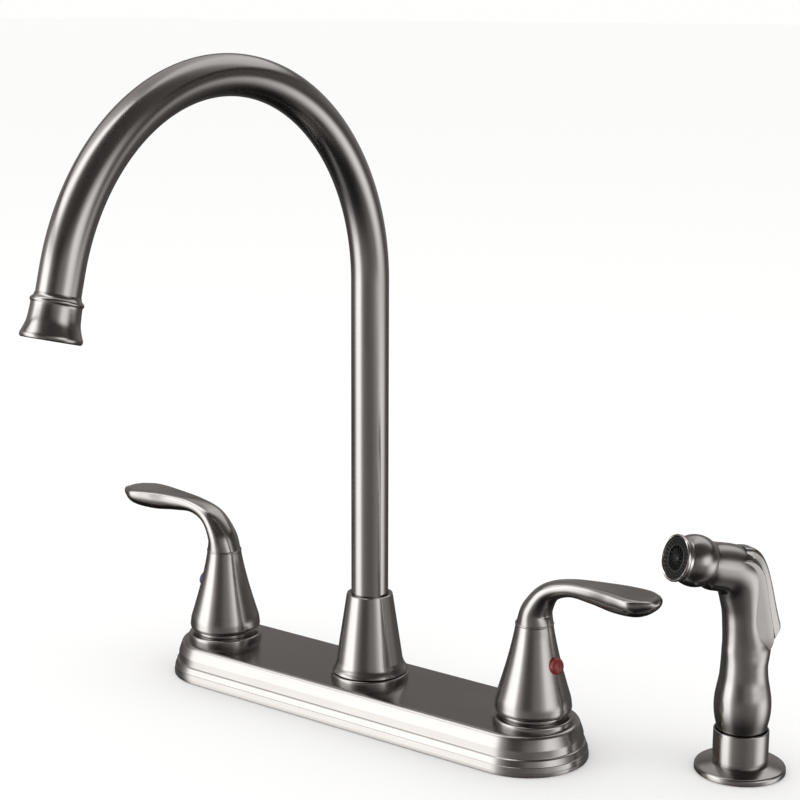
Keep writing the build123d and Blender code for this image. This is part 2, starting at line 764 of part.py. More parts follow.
def aerator_washer():
    """Rubber washer between the aerator and the seat inside the bell."""
    washer = ring(spout_radius - spout_wall - 1.5, aerator_radius - seat_gap, aerator_top,
                  aerator_top + aerator_washer_thickness)
    return outlet_frame() * washer


def aerator_screen():
    """Round plate at the aerator's mouth that breaks the jet up."""
    high = aerator_low() - 0.4
    low = high - 2.5 * aerator_screen_thickness
    radius = aerator_radius - aerator_wall - seat_gap
    return outlet_frame() * rod(radius, low, high)


# ---- Under the deck

def at_both_shanks(solid):
    return Compound([at_side(solid, -1), at_side(solid, 1)])


def mounting_washers():
    reach = shank_radius + washer_reach
    washer = ring(shank_radius + seat_gap, reach, nut_face - washer_thickness, nut_face)
    return at_both_shanks(washer)


def mounting_nuts():
    """Plastic nuts with four wings that clamp the faucet to the deck."""
    top = nut_face - washer_thickness
    low = top - nut_height
    hub_radius = shank_radius + nut_wall
    nut = rod(hub_radius, low, top)
    wing = Pos(hub_radius + nut_wing_reach - nut_wing_length / 2, 0, (top + low) / 2)
    wing *= Box(nut_wing_length, nut_wing_thickness, nut_height)
    for quarter in range(4):
        nut += Rot(0, 0, 90 * quarter + 45) * wing
    return at_both_shanks(nut - rod(shank_radius + seat_gap, low, top))


# ---- Side spray holder

def at_spray(solid):
    return Pos(spray_x, spray_y, 0) * Rot(0, 0, spray_turn) * solid


def spray_flange():
    """Round escutcheon with a low cone, loose round the holder."""
    bore = holder_radius + seat_gap
    flange = turned((bore, 0), (flange_radius, 0), (flange_radius, flange_edge), (bore, flange_top))
    rim = flange.edges().filter_by(GeomType.CIRCLE).sort_by(lambda e: e.radius)[-2:]
    return at_spray(fillet(rim.sort_by(Axis.Z)[-1], 1.3))


def spray_holder():
    """Cup that the spray stands in, with its threaded shank through the deck."""
    holder = turned(
        (holder_bore, -holder_drop), (holder_shank_radius, -holder_drop),
        (holder_shank_radius, 0), (holder_radius, 0), (holder_radius, holder_top),
        (holder_mouth_radius, holder_top), (holder_mouth_radius, holder_ledge),
        (holder_bore, holder_ledge))
    rim = holder.edges().filter_by(GeomType.CIRCLE).filter_by(lambda e: e.center().Z > holder_top - 0.01)
    return at_spray(fillet(rim, 0.4))


def spray_holder_washer():
    reach = holder_shank_radius + holder_washer_reach
    return at_spray(ring(holder_shank_radius + seat_gap, reach, nut_face - washer_thickness, nut_face))


def spray_holder_nut():
    top = nut_face - washer_thickness
    nut = hexagon(2 * (holder_shank_radius + holder_nut_wall), top - holder_nut_height, top)
    return at_spray(nut - rod(holder_shank_radius + seat_gap, top - holder_nut_height, top))


# ---- Side spray

def head_frame():
    """Plane at the ball's centre, its Z axis leading out of the nozzle."""
    tilt = math.radians(head_tilt)
    return Plane(origin=(0, head_back, head_height), x_dir=(1, 0, 0),
                 z_dir=(0, -math.cos(tilt), math.sin(tilt)))


def grip_section(station):
    back, height, lean, half_depth, half_width = station
    angle = math.radians(lean)
    plane = Plane(origin=(0, back, height), x_dir=(1, 0, 0), z_dir=(0, math.cos(angle), math.sin(angle)))
    return plane * Ellipse(half_width, half_depth)


def head_section(station):
    along, rise, half_depth, half_width = station
    section = Rot(0, 0, 180) * Ellipse(half_width, half_depth)
    return head_frame() * Pos(0, rise, along) * section


def pressed(point):
    """Where a point of the trigger lies when the trigger is pressed, less the clearance."""
    back, rise = point[0] - pivot_back, point[1] - pivot_height
    turn = math.radians(trigger_press)
    moved_back = back * math.cos(turn) + rise * math.sin(turn)
    moved_rise = rise * math.cos(turn) - back * math.sin(turn)
    return (0, pivot_back + moved_back - free_gap, pivot_height + moved_rise - free_gap)


def trigger_slot():
    """Space in the back of the grip for the trigger, its travel and its clearance."""
    floor_points = [pressed(point) for point in trigger_inner]
    floor = Spline(*floor_points)
    front = pressed((trigger_outer[0][0], trigger_inner[-1][1]))[1]
    heel = (0, trigger_inner[0][0], trigger_inner[0][1] - 2 * free_gap)
    open_back, open_top = 2 * trigger_heel[0], trigger_outer[0][1] + 10
    slope = (trigger_heel[1] - trigger_inner[0][1]) / (trigger_heel[0] - trigger_inner[0][0])
    mouth = (0, open_back, heel[2] + slope * (open_back - heel[1]))
    rest = Polyline(floor_points[-1], (0, front, floor_points[-1][2]), (0, front, open_top),
                    (0, open_back, open_top), mouth, heel, floor_points[0])
    width = trigger_width + 2 * free_gap
    return Pos(-width / 2, 0, 0) * extrude(face_of(floor, *rest.edges()), width, dir=(1, 0, 0))


def trigger_shield():
    """Flat-sided rear of the grip that stands round the trigger's slot."""
    rear = Spline(*[(0, back, height) for back, height in shield_rear])
    around = shield_rear[-1:] + shield_front + shield_rear[:1]
    rest = Polyline(*[(0, back, height) for back, height in around])
    shield = Pos(-shield_width / 2, 0, 0) * extrude(face_of(rear, *rest.edges()), shield_width, dir=(1, 0, 0))
    rims = shield.edges().filter_by(GeomType.BSPLINE).filter_by(lambda e: abs(e.center().X) > 1)
    return fillet(rims, shield_edge)


def across(radius, length, back, height):
    """A round bar across the spray, along X."""
    return Pos(0, back, height) * Rot(0, 90, 0) * rod(radius, -length / 2, length / 2)


def lower_grip():
    """Turned part of the grip, from its foot in the cup up to the waist."""
    foot, waist = grip_profile[0], grip_profile[-1]
    side = Spline(*[(r, 0, z) for r, z in grip_profile], tangents=((0.2, 0, 1), (0, 0, 1)))
    rest = Polyline((waist[0], 0, waist[1]), (0, 0, waist[1]), (0, 0, foot[1]), (foot[0], 0, foot[1]))
    return revolve(face_of(side, *rest.edges()), Axis.Z)


def waterways():
    """The bores through the grip and the head, as bars to cut away."""
    upright = Pos(0, grip_bore_back, 0) * rod(grip_bore, collar_spigot_top, grip_bore_top)
    tilt = math.radians(head_tilt)
    end_back = head_back - head_bore_start * math.cos(tilt)
    end_height = head_height + head_bore_start * math.sin(tilt)
    run, rise = end_back - grip_bore_back, end_height - slant_start
    slant = Plane(origin=(0, grip_bore_back, slant_start), x_dir=(1, 0, 0), z_dir=(0, run, rise))
    slanted = slant * rod(grip_bore, 0, math.hypot(run, rise))
    knee = Pos(0, end_back, end_height) * Sphere(grip_bore)
    ahead = head_frame() * rod(head_bore, head_bore_start, head_spigot_front + 1)
    return upright, slanted, knee, ahead


def spray_body():
    """Moulded grip that bends over to the nozzle, with its waterways and the trigger's slot."""
    body = loft([grip_section(s) for s in grip_stations] + [head_section(s) for s in head_stations])
    body += lower_grip()
    body += trigger_shield()
    body += head_frame() * rod(head_spigot_radius, ball_rear - 1, head_spigot_front)
    body -= trigger_slot()
    body -= rod(collar_spigot_radius + running_gap, grip_foot - 1, collar_spigot_top + 1)
    for bore in waterways():
        body -= bore
    body -= across(pivot_pin_radius + seat_gap / 2, pivot_pin_length, pivot_back, pivot_height)
    plunger_way = rod(plunger_radius + running_gap, -plunger_head, -grip_bore_back)
    return at_spray(body - Pos(0, 0, plunger_height) * Rot(90, 0, 0) * plunger_way)


def spray_collar():
    """Ball-shaped collar screwed on the head; it clamps the nozzle ring."""
    bore = head_spigot_radius + seat_gap
    rear = math.sqrt(ball_radius ** 2 - ball_rear ** 2)
    front = math.sqrt(ball_radius ** 2 - ball_front ** 2)
    ball = ThreePointArc((rear, 0, ball_rear), (ball_radius, 0, 0), (front, 0, ball_front))
    rest = Polyline((front, 0, ball_front), (head_groove_radius, 0, ball_front),
                    (head_groove_radius, 0, ball_front + head_groove),
                    (bore, 0, ball_front + head_groove), (bore, 0, ball_rear), (rear, 0, ball_rear))
    return at_spray(head_frame() * revolve(face_of(ball, *rest.edges()), Axis.Z))


def nozzle_ring():
    """Bright ring round the spray face."""
    rear = ball_front + head_groove
    inner = nozzle_radius - nozzle_rim
    body = ring(inner, nozzle_radius, rear, nozzle_front)
    rim = body.edges().filter_by(GeomType.CIRCLE).filter_by(lambda e: e.center().Z > nozzle_front - 0.01)
    return at_spray(head_frame() * fillet(rim, nozzle_rim / 2 - 0.05))


def spray_face():
    """Black spray plate with a finned well in its middle."""
    front = nozzle_front - face_recess
    radius = nozzle_radius - nozzle_rim - seat_gap
    rear = front - face_thickness
    plate = rod(radius, rear, front) - rod(face_well_radius, front - face_well_depth, front)
    hub = rod(1.2, front - face_well_depth, front - 0.3)
    fin_length = face_well_radius - 0.8
    fin = Pos(fin_length / 2 + 0.9, 0, front - face_well_depth / 2 - 0.2)
    fin *= Box(fin_length, 0.5, face_well_depth - 0.4)
    plate += hub
    for step in range(face_fins):
        plate += Rot(0, 0, 360 / face_fins * step) * fin
    return at_spray(head_frame() * plate)


def spray_core():
    """Plastic core behind the spray face that spreads the water."""
    low = head_spigot_front + free_gap
    high = nozzle_front - face_recess - face_thickness
    return at_spray(head_frame() * ring(3.0, head_spigot_radius - seat_gap, low, high))


def hose_collar():
    """End fitting of the hose: the spray swivels on its spigot, and its flange sits in the cup."""
    fitting = turned(
        (hose_nipple_bore, hose_nipple_foot), (hose_nipple_radius, hose_nipple_foot),
        (hose_nipple_radius, collar_hex_foot), (collar_spigot_radius + 1, collar_hex_foot),
        (collar_spigot_radius + 1, holder_ledge), (collar_flange_radius, holder_ledge),
        (collar_flange_radius, grip_foot), (collar_spigot_radius, grip_foot),
        (collar_spigot_radius, collar_spigot_top), (hose_nipple_bore, collar_spigot_top))
    return at_spray(fitting)


def trigger_pin():
    return at_spray(across(pivot_pin_radius, pivot_pin_length - 0.4, pivot_back, pivot_height))


def spray_trigger():
    """Long thumb lever that follows the back of the grip down to a pointed tip."""
    outer = Spline(*[(0, back, height) for back, height in trigger_outer])
    tip = ThreePointArc((0, *trigger_outer[-1]), (0, *trigger_tip), (0, *trigger_heel))
    heel = Line((0, *trigger_heel), (0, *trigger_inner[0]))
    inner = Spline(*[(0, back, height) for back, height in trigger_inner])
    front, low = trigger_outer[0][0], trigger_inner[-1][1]
    nose = Polyline((0, *trigger_inner[-1]), (0, front, low), (0, *trigger_outer[0]))
    profile = face_of(outer, tip, heel, inner, *nose.edges())
    blade = Pos(-trigger_width / 2, 0, 0) * extrude(profile, trigger_width, dir=(1, 0, 0))
    sides = blade.edges().filter_by(lambda e: abs(e.center().X) > 1)
    middle_of_outer = (trigger_outer[4][0], trigger_outer[4][1])
    rim = sides.sort_by(lambda e: math.dist((e.center().Y, e.center().Z), middle_of_outer))[:2]
    blade = fillet(rim, trigger_crown)
    blade -= across(pivot_pin_radius + running_gap, 2 * trigger_width, pivot_back, pivot_height)
    return at_spray(blade)


def valve_plunger():
    """Pin that the trigger pushes in, with the disc that opens the waterway."""
    pin = rod(plunger_radius, -plunger_head, -plunger_disc_back)
    pin += rod(valve_disc_radius, -plunger_disc_back, valve_disc_thickness - plunger_disc_back)
    return at_spray(Pos(0, 0, plunger_height) * Rot(90, 0, 0) * pin)


pieces = {
    "deck_plate": deck_plate(),
    "base_gasket": base_gasket(),
    "centre_body": centre_body(),
    "hose_nipple": hose_nipple(),
    "diverter_cage": diverter_cage(),
    "diverter_poppet": diverter_poppet(),
    "spout_ring": trim_ring(centre_neck_radius + seat_gap, spout_ring_radius),
    "spout_hub": spout_hub(),
    "spout_bearing": spout_bearing(),
    "spout_tube": spout_tube(),
    "spout_ferrule": spout_ferrule(),
    "spout_o_rings": spout_o_rings(),
    "spout_clip": spout_clip(),
    "outlet_bell": outlet_bell(),
    "aerator_housing": aerator_housing(),
    "aerator_washer": aerator_washer(),
    "aerator_screen": aerator_screen(),
    "mounting_washers": mounting_washers(),
    "mounting_nuts": mounting_nuts(),
    "spray_flange": spray_flange(),
    "spray_holder": spray_holder(),
    "spray_holder_washer": spray_holder_washer(),
    "spray_holder_nut": spray_holder_nut(),
    "hose_collar": hose_collar(),
    "spray_body": spray_body(),
    "spray_collar": spray_collar(),
    "nozzle_ring": nozzle_ring(),
    "spray_face": spray_face(),
    "spray_core": spray_core(),
    "trigger_pin": trigger_pin(),
    "spray_trigger": spray_trigger(),
    "valve_plunger": valve_plunger(),
}
paired_in_deck = {
    "valve_body": valve_body(),
    "cross_tube": Pos(-half_spacing, 0, 0) * cross_tube(),
    "cartridge_housing": cartridge_housing(),
    "cartridge_seal": cartridge_seal(),
    "fixed_disc": fixed_disc(),
    "bonnet_nut": bonnet_nut(),
    "trim_ring": trim_ring(valve_neck_radius + seat_gap, trim_ring_radius),
}
paired_in_handle = {
    "moving_disc": moving_disc(),
    "stem": stem(),
    "handle_bell": handle_bell(),
    "lever": lever(),
    "index_button": index_button(),
    "set_screw": set_screw(),
}
for prefix, side in (("left_", -1), ("right_", 1)):
    for name, solid in paired_in_deck.items():
        pieces[prefix + name] = at_side(solid, side)
    for name, solid in paired_in_handle.items():
        pieces[prefix + name] = on_handle(solid, side)

os.makedirs("parts", exist_ok=True)
for name, solid in pieces.items():
    export_step(solid, os.path.join("parts", name + ".step"))
print(len(pieces), "nodes written")
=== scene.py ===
import json
import math

import bmesh
import bpy
import numpy as np
from mathutils import Matrix, Vector


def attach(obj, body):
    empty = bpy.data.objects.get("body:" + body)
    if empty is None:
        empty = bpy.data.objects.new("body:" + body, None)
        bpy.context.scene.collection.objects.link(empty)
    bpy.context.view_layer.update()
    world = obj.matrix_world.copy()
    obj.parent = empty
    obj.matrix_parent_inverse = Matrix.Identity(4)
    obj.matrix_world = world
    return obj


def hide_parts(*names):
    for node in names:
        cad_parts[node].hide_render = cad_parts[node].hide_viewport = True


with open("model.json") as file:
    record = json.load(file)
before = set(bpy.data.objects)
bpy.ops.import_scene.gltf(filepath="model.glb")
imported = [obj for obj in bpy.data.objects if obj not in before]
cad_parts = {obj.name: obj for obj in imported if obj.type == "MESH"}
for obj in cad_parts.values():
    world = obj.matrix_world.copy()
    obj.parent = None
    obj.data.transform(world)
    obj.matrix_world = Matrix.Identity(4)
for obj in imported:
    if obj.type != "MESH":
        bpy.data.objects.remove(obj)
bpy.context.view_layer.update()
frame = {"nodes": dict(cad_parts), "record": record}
nodes = frame["nodes"]

# ------------------------
# The studio: a white worktop that the faucet stands in, two soft lamps and a tent with dark walls
# and long strip lights, which shows only as the reflections on the metal.

camera = bpy.data.objects.new("camera", bpy.data.cameras.new("camera"))
bpy.context.scene.collection.objects.link(camera)
camera.data.sensor_width = 36
camera.data.lens = 84.207
to_right = Vector((0.79528, 0.60622, 0.00431))
to_top = Vector((-0.12797, 0.16092, 0.97864))
ahead = Vector((-0.59258, 0.77885, -0.20555))
turn = Matrix((to_right, to_top, -ahead)).transposed().to_4x4()
camera.matrix_world = Matrix.Translation((0.57296, -0.72798, 0.35960)) @ turn
camera.data.clip_start, camera.data.clip_end = 0.05, 100
bpy.context.scene.camera = camera
bpy.context.scene.view_settings.view_transform = "Standard"


class Nodes:
    """A small helper to lay out a node tree: add a node with its values and links in one line."""

    def __init__(self, tree):
        self.tree = tree

    def add(self, kind, inputs=(), **settings):
        node = self.tree.nodes.new(kind)
        for key, value in settings.items():
            setattr(node, key, value)
        for name, value in dict(inputs).items():
            socket = node.inputs[name]
            if isinstance(value, bpy.types.NodeSocket):
                self.tree.links.new(value, socket)
            else:
                socket.default_value = value
        return node

    def math(self, operation, *values):
        return self.add("ShaderNodeMath", enumerate(values), operation=operation).outputs[0]

    def mix(self, share, first, second):
        """A mix of two colours, which are inputs 6 and 7 and output 2 of the Mix node."""
        colours = {"Factor": share, 6: first, 7: second}
        return self.add("ShaderNodeMix", colours, data_type="RGBA").outputs[2]

    def ramp(self, value, stops):
        """A colour ramp through stops (place, level or colour)."""
        node = self.add("ShaderNodeValToRGB", {"Fac": value})
        elements = node.color_ramp.elements
        while len(elements) < len(stops):
            elements.new(1.0)
        for element, (place, level) in zip(elements, stops):
            element.position = place
            element.color = (level, level, level, 1) if isinstance(level, float) else (*level, 1)
        return node.outputs[0]


def new_material(name):
    """An empty node material and the helper for its tree."""
    material = bpy.data.materials.new(name)
    material.use_nodes = True
    material.node_tree.nodes.clear()
    return material, Nodes(material.node_tree)


def mesh_of(name, points, faces):
    mesh = bpy.data.meshes.new(name)
    mesh.from_pydata(points, [], faces)
    return mesh


def to_piece(name, mesh):
    piece = bpy.data.objects.new(name, mesh)
    bpy.context.scene.collection.objects.link(piece)
    return piece


world = bpy.data.worlds.new("studio_air")
bpy.context.scene.world = world
world.use_nodes = True
background = world.node_tree.nodes["Background"]
background.inputs["Color"].default_value = (1.0, 0.995, 0.985, 1)
background.inputs["Strength"].default_value = 1.0

floor_half, floor_drop = 40.0, 0.0002
corners = [(x * floor_half, y * floor_half, -floor_drop) for x, y in ((-1, -1), (1, -1), (1, 1), (-1, 1))]
floor_mesh = mesh_of("worktop", corners, [(0, 1, 2, 3)])
floor = to_piece("worktop", floor_mesh)
floor.visible_glossy = False
worktop_white, n = new_material("worktop_white")
noise = n.add("ShaderNodeTexNoise", {"Scale": 3.0, "Detail": 3.0})
colour = n.ramp(noise.outputs["Fac"], [(0.0, 0.965), (1.0, 0.98)])
paint = n.add("ShaderNodeBsdfDiffuse", {"Color": colour})
n.add("ShaderNodeOutputMaterial", {"Surface": paint.outputs[0]})
floor_mesh.materials.append(worktop_white)

tent_mesh = bpy.data.meshes.new("tent")
builder = bmesh.new()
bmesh.ops.create_icosphere(builder, subdivisions=5, radius=4.0)
builder.to_mesh(tent_mesh)
builder.free()
tent = to_piece("tent", tent_mesh)
tent.visible_camera = tent.visible_diffuse = tent.visible_shadow = False
tent.visible_transmission = tent.visible_volume_scatter = False
tent_light, n = new_material("tent_light")
place = n.add("ShaderNodeTexCoord").outputs["Object"]
direction = n.add("ShaderNodeVectorMath", {0: place}, operation="NORMALIZE").outputs[0]
parts = n.add("ShaderNodeSeparateXYZ", {0: direction})
angle = n.math("ARCTAN2", parts.outputs["Y"], parts.outputs["X"])
share = n.math("MULTIPLY_ADD", angle, 1 / (2 * math.pi), 0.5)
brightest = 4.0    # level at the top of the ramps, which end at 1


def ring_of_light(stops):
    """Light round the tent from stops (compass degrees from +X, level)."""
    return n.ramp(share, [((degrees + 180) / 360, level / brightest) for degrees, level in stops])


def eased(value, low, high, start=0.0, end=1.0):
    """The value's share between low and high, eased at both and led from start to end."""
    limits = {"Value": value, "From Min": low, "From Max": high, "To Min": start, "To Max": end}
    return n.add("ShaderNodeMapRange", limits, interpolation_type="SMOOTHSTEP").outputs[0]


# a broad lamp left of the camera, one that leans to the right of it, and dimmer ones behind
low_ring = ring_of_light([
    (-180, 0.12), (-166, 0.14), (-154, 0.5), (-146, 1.6), (-136, 2.7), (-114, 2.7), (-104, 1.0), (-92, 0.42),
    (-65, 0.26), (-44, 0.24), (-20, 0.36), (-7, 0.42), (8, 1.3), (22, 2.0), (37, 1.8), (50, 0.7), (61, 0.17),
    (90, 0.12), (130, 0.10), (180, 0.12)])
high_ring = ring_of_light([
    (-180, 0.30), (-166, 0.4), (-154, 0.9), (-144, 3.0), (-114, 3.3), (-104, 0.9), (-90, 0.28), (-80, 0.14),
    (-66, 0.14), (-52, 0.34), (-34, 0.5), (-22, 1.0), (-12, 1.9), (2, 1.9), (14, 1.3), (24, 0.35), (34, 0.10),
    (60, 0.16), (90, 0.35), (127, 0.30), (160, 0.35), (180, 0.30)])
roof_ring = ring_of_light([
    (-180, 0.8), (-160, 1.2), (-146, 3.0), (-126, 3.0), (-110, 0.8), (-95, 0.14), (-50, 0.08), (0, 0.10),
    (40, 0.15), (56, 0.5), (68, 1.15), (105, 1.25), (128, 0.7), (160, 0.5), (180, 0.8)])
height = parts.outputs["Z"]
ring = n.mix(eased(height, -0.2, 0.08), low_ring, high_ring)
wall_top = eased(height, 0.31, 0.44, 1.0, 0.42)
wall_foot = eased(height, -0.75, -0.25, 0.12, 1.0)
wall_light = n.math("MULTIPLY", n.math("MULTIPLY", ring, brightest),
                    n.math("MULTIPLY", wall_top, wall_foot))
roof_light = n.math("MULTIPLY", roof_ring, brightest)
in_roof = eased(height, 0.46, 0.56)
level = n.add("ShaderNodeMix", {"Factor": in_roof, "A": wall_light, "B": roof_light}).outputs[0]
# dim parts of the tent are a little warmer than bright ones
tint = n.mix(eased(level, 0.0, 1.4), (1.0, 0.93, 0.89, 1), (1.0, 0.998, 0.99, 1))
glow = n.add("ShaderNodeEmission", {"Color": tint, "Strength": level})
n.add("ShaderNodeOutputMaterial", {"Surface": glow.outputs[0]})
tent_light.cycles.emission_sampling = "NONE"
tent_mesh.materials.append(tent_light)


def soft_lamp(name, place, size, power):
    lamp = bpy.data.lights.new(name, "AREA")
    lamp.size, lamp.energy = size, power
    lamp_object = bpy.data.objects.new(name, lamp)
    bpy.context.scene.collection.objects.link(lamp_object)
    facing = (Vector((0, 0, 0.1)) - Vector(place)).to_track_quat("-Z", "Y")
    lamp_object.matrix_world = Matrix.Translation(place) @ facing.to_matrix().to_4x4()
    lamp_object.visible_glossy = False


soft_lamp("left_lamp", (-1.3, -1.5, 1.7), size=1.4, power=6)
soft_lamp("right_lamp", (1.6, 0.2, 1.5), size=1.2, power=3)

# ------------------------
# Deck plate: brass sheet pressed to a long hollow cover with round ends, a band at its foot and a
# ledge above it, then plated in brushed nickel. Its grain runs along the plate.

mm = 0.001


def grain_group():
    """Fine brushed lines: the Vector comes in already stretched along the grain."""
    group = bpy.data.node_groups.new("brushed_grain", "ShaderNodeTree")
    for way, sockets in (("INPUT", (("Vector", "Vector"), ("Roughness", "Float"), ("Spread", "Float"),
                                    ("Depth", "Float"), ("Dark", "Color"), ("Light", "Color"))),
                         ("OUTPUT", (("Color", "Color"), ("Roughness", "Float"), ("Normal", "Vector")))):
        for name, kind in sockets:
            group.interface.new_socket(name, in_out=way, socket_type="NodeSocket" + kind)
    n = Nodes(group)
    given = n.add("NodeGroupInput").outputs
    fine = n.add("ShaderNodeTexNoise", {"Vector": given["Vector"], "Scale": 1.0, "Detail": 4.0,
                                        "Roughness": 0.7})
    patch = n.add("ShaderNodeTexCoord").outputs["Object"]
    cloud = n.add("ShaderNodeTexNoise", {"Vector": patch, "Scale": 28.0, "Detail": 3.0})
    line = fine.outputs["Fac"]
    blend = n.math("ADD", n.math("MULTIPLY", line, 0.6), n.math("MULTIPLY", cloud.outputs["Fac"], 0.4))
    offset = n.math("MULTIPLY", n.math("SUBTRACT", blend, 0.5), given["Spread"])
    bump = n.add("ShaderNodeBump", {"Height": line, "Strength": given["Depth"], "Distance": 0.00004})
    n.add("NodeGroupOutput", {
        "Color": n.mix(blend, given["Dark"], given["Light"]),
        "Roughness": n.math("ADD", given["Roughness"], offset), "Normal": bump.outputs[0]})
    return group


brushed_grain = grain_group()


def brushed_metal(name, stretch, dark, light, roughness, spread=0.08, depth=0.2, on_map=False):
    """A metal with brushed lines; stretch gives the noise's frequency along X, Y and Z, or along the
    piece's own brush map in millimetres."""
    material, n = new_material(name)
    place = n.add("ShaderNodeTexCoord").outputs["Object"]
    if on_map:
        place = n.add("ShaderNodeUVMap", uv_map="brush").outputs[0]
    mapping = n.add("ShaderNodeMapping", {"Vector": place, "Scale": stretch})
    grain = n.add("ShaderNodeGroup", {
        "Vector": mapping.outputs[0], "Roughness": roughness, "Spread": spread, "Depth": depth,
        "Dark": (*dark, 1), "Light": (*light, 1)}, node_tree=brushed_grain).outputs
    metal = n.add("ShaderNodeBsdfPrincipled", {
        "Base Color": grain["Color"], "Metallic": 1.0, "Roughness": grain["Roughness"],
        "Normal": grain["Normal"]})
    n.add("ShaderNodeOutputMaterial", {"Surface": metal.outputs[0]})
    return material


nickel_dark, nickel_light = (0.29, 0.277, 0.268), (0.39, 0.375, 0.364)
nickel_along = brushed_metal("nickel_brushed_along", (30, 2600, 2600), nickel_dark, nickel_light,
                             roughness=0.20)
nickel_round = brushed_metal("nickel_brushed_round", (90, 90, 2600), nickel_dark, nickel_light,
                             roughness=0.19)


def rounded(corners, steps=5):
    """A closed outline from corners (x, y, radius), each with its arc."""
    outline = []
    for i, (x, y, radius) in enumerate(corners):
        here = Vector((x, y))
        if radius <= 0:
            outline.append((x, y))
            continue
        before = (Vector(corners[i - 1][:2]) - here).normalized()
        after = (Vector(corners[(i + 1) % len(corners)][:2]) - here).normalized()
        half = math.acos(max(-1, min(1, before.dot(after)))) / 2
        reach = radius / math.tan(half)
        centre = here + (before + after).normalized() * (radius / math.sin(half))
        start, end = here + before * reach - centre, here + after * reach - centre
        sweep = math.pi - 2 * half
        for step in range(steps + 1):
            t = sweep * step / steps
            along = (start * math.sin(sweep - t) + end * math.sin(t)) / math.sin(sweep)
            outline.append(tuple(centre + along))
    return outline


def smoothed(mesh, sharp):
    """Smooth shading, with hard edges where faces meet at more degrees than given."""
    mesh.polygons.foreach_set("use_smooth", [True] * len(mesh.polygons))
    mesh.set_sharp_from_angle(angle=math.radians(sharp))
    return mesh


def shaded(mesh, sharp=40, closed=True):
    """Points joined where they meet, holes filled if it isn't closed, outward faces and shading."""
    builder = bmesh.new()
    builder.from_mesh(mesh)
    bmesh.ops.remove_doubles(builder, verts=builder.verts, dist=1e-7)
    if not closed:
        bmesh.ops.holes_fill(builder, edges=builder.edges, sides=0)
    bmesh.ops.recalc_face_normals(builder, faces=builder.faces)
    builder.to_mesh(mesh)
    builder.free()
    return smoothed(mesh, sharp)


def dress(piece, body, slot, material, *stands_for):
    """Gives a finished piece its material and its body, and hides the CAD nodes that it stands for; the slot
    is not used.
    """
    piece.data.materials.append(material)
    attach(piece, body)
    if stands_for:
        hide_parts(*stands_for)


def lathe(name, outline, around=120, place=None):
    """Turns a closed outline of (radius, height) in millimetres about Z."""
    place = place or Matrix.Identity(4)
    verts, faces = [], []
    count = len(outline)
    for i in range(around):
        a = 2 * math.pi * i / around
        for r, z in outline:
            verts.append(tuple((place @ Vector((r * math.cos(a), r * math.sin(a), z))) * mm))
    for i in range(around):
        k = (i + 1) % around
        for j in range(count):
            m = (j + 1) % count
            if outline[j][0] < 1e-6 and outline[m][0] < 1e-6:    # both on the axis: no face
                continue
            faces.append((i * count + j, k * count + j, k * count + m, i * count + m))
    return mesh_of(name, verts, faces)


def turned(name, outline, body, slot, material, stands_for, around=120, place=None, sharp=40):
    """A finished piece turned from an outline."""
    mesh = shaded(lathe(name, outline, around, place), sharp)
    dress(to_piece(name, mesh), body, slot, material, stands_for)


def at(x, y=0.0, z=0.0):
    return Matrix.Translation((x, y, z))


def cut(piece, tool):
    """Takes the tool's volume out of the piece and removes the tool."""
    modifier = piece.modifiers.new("cut", "BOOLEAN")
    modifier.operation, modifier.object, modifier.solver = "DIFFERENCE", tool, "EXACT"
    evaluated = piece.evaluated_get(bpy.context.evaluated_depsgraph_get())
    mesh = bpy.data.meshes.new_from_object(evaluated)
    piece.modifiers.clear()
    piece.data = smoothed(mesh, 35)
    bpy.data.objects.remove(tool)
    return piece


def sleeve(bore, outer, low, high):
    """Outline of a straight sleeve, or of a rod if its bore is 0."""
    return [(bore, low), (outer, low), (outer, high), (bore, high)]


def drill(piece, radius, low, high, around, place):
    """Takes a round hole out of the piece, from one height to another."""
    cut(piece, to_piece("bit", shaded(lathe("bit", sleeve(0, radius, low, high), around, place))))


plate_length, plate_width, plate_height = 257.4, 62.9, 18.6
plate_wall = 1.4
plate_outer = rounded([
    (0, plate_height, 0), (24.2, plate_height, 0), (26.55, plate_height, 2.2), (28.75, 12.2, 4.0),
    (29.05, 8.3, 0.5), (29.95, 7.7, 0.7), (30.75, 4.75, 0.2), (31.05, 4.55, 0.2), (31.3, 2.1, 0.1),
    (31.45, 1.95, 0.1), (31.45, 0.0, 0.2), (30.3, 0.0, 0.2), (30.3, 3.2, 0.4), (28.05, 7.0, 0.4),
    (27.35, 12.0, 2.0), (25.25, plate_height - plate_wall, 1.0), (0, plate_height - plate_wall, 0)])
round_steps, side_steps = 40, 24    # of the outline's stations, each (centre's x, outward direction)
end_centre = plate_length / 2 - plate_width / 2
stations = []
for side in (1, -1):
    for step in range(round_steps + 1):
        a = math.radians(-90 + 180 * step / round_steps)
        stations.append((side * end_centre, math.cos(a) * side, math.sin(a) * side))
    for step in range(1, side_steps):
        stations.append((side * end_centre * (1 - 2 * step / side_steps), 0, side))
verts = [((x + nx * r) * mm, ny * r * mm, z * mm) for x, nx, ny in stations for r, z in plate_outer]
rows, cols = len(stations), len(plate_outer)
faces = [(i * cols + j, ((i + 1) % rows) * cols + j, ((i + 1) % rows) * cols + j + 1, i * cols + j + 1)
         for i in range(rows) for j in range(cols - 1)]
plate_cover = to_piece("plate_cover", shaded(mesh_of("plate_cover", verts, faces), 30, closed=False))
handle_x, valve_hole, spout_hole = 101.6, 12.05, 13.05
hole_low, hole_high = 10, 25    # past both faces of the sheet
for x, hole in ((-handle_x, valve_hole), (0, spout_hole), (handle_x, valve_hole)):
    drill(plate_cover, hole, hole_low, hole_high, 96, at(x))
dress(plate_cover, "base", "brushed_nickel", nickel_along, "deck_plate")

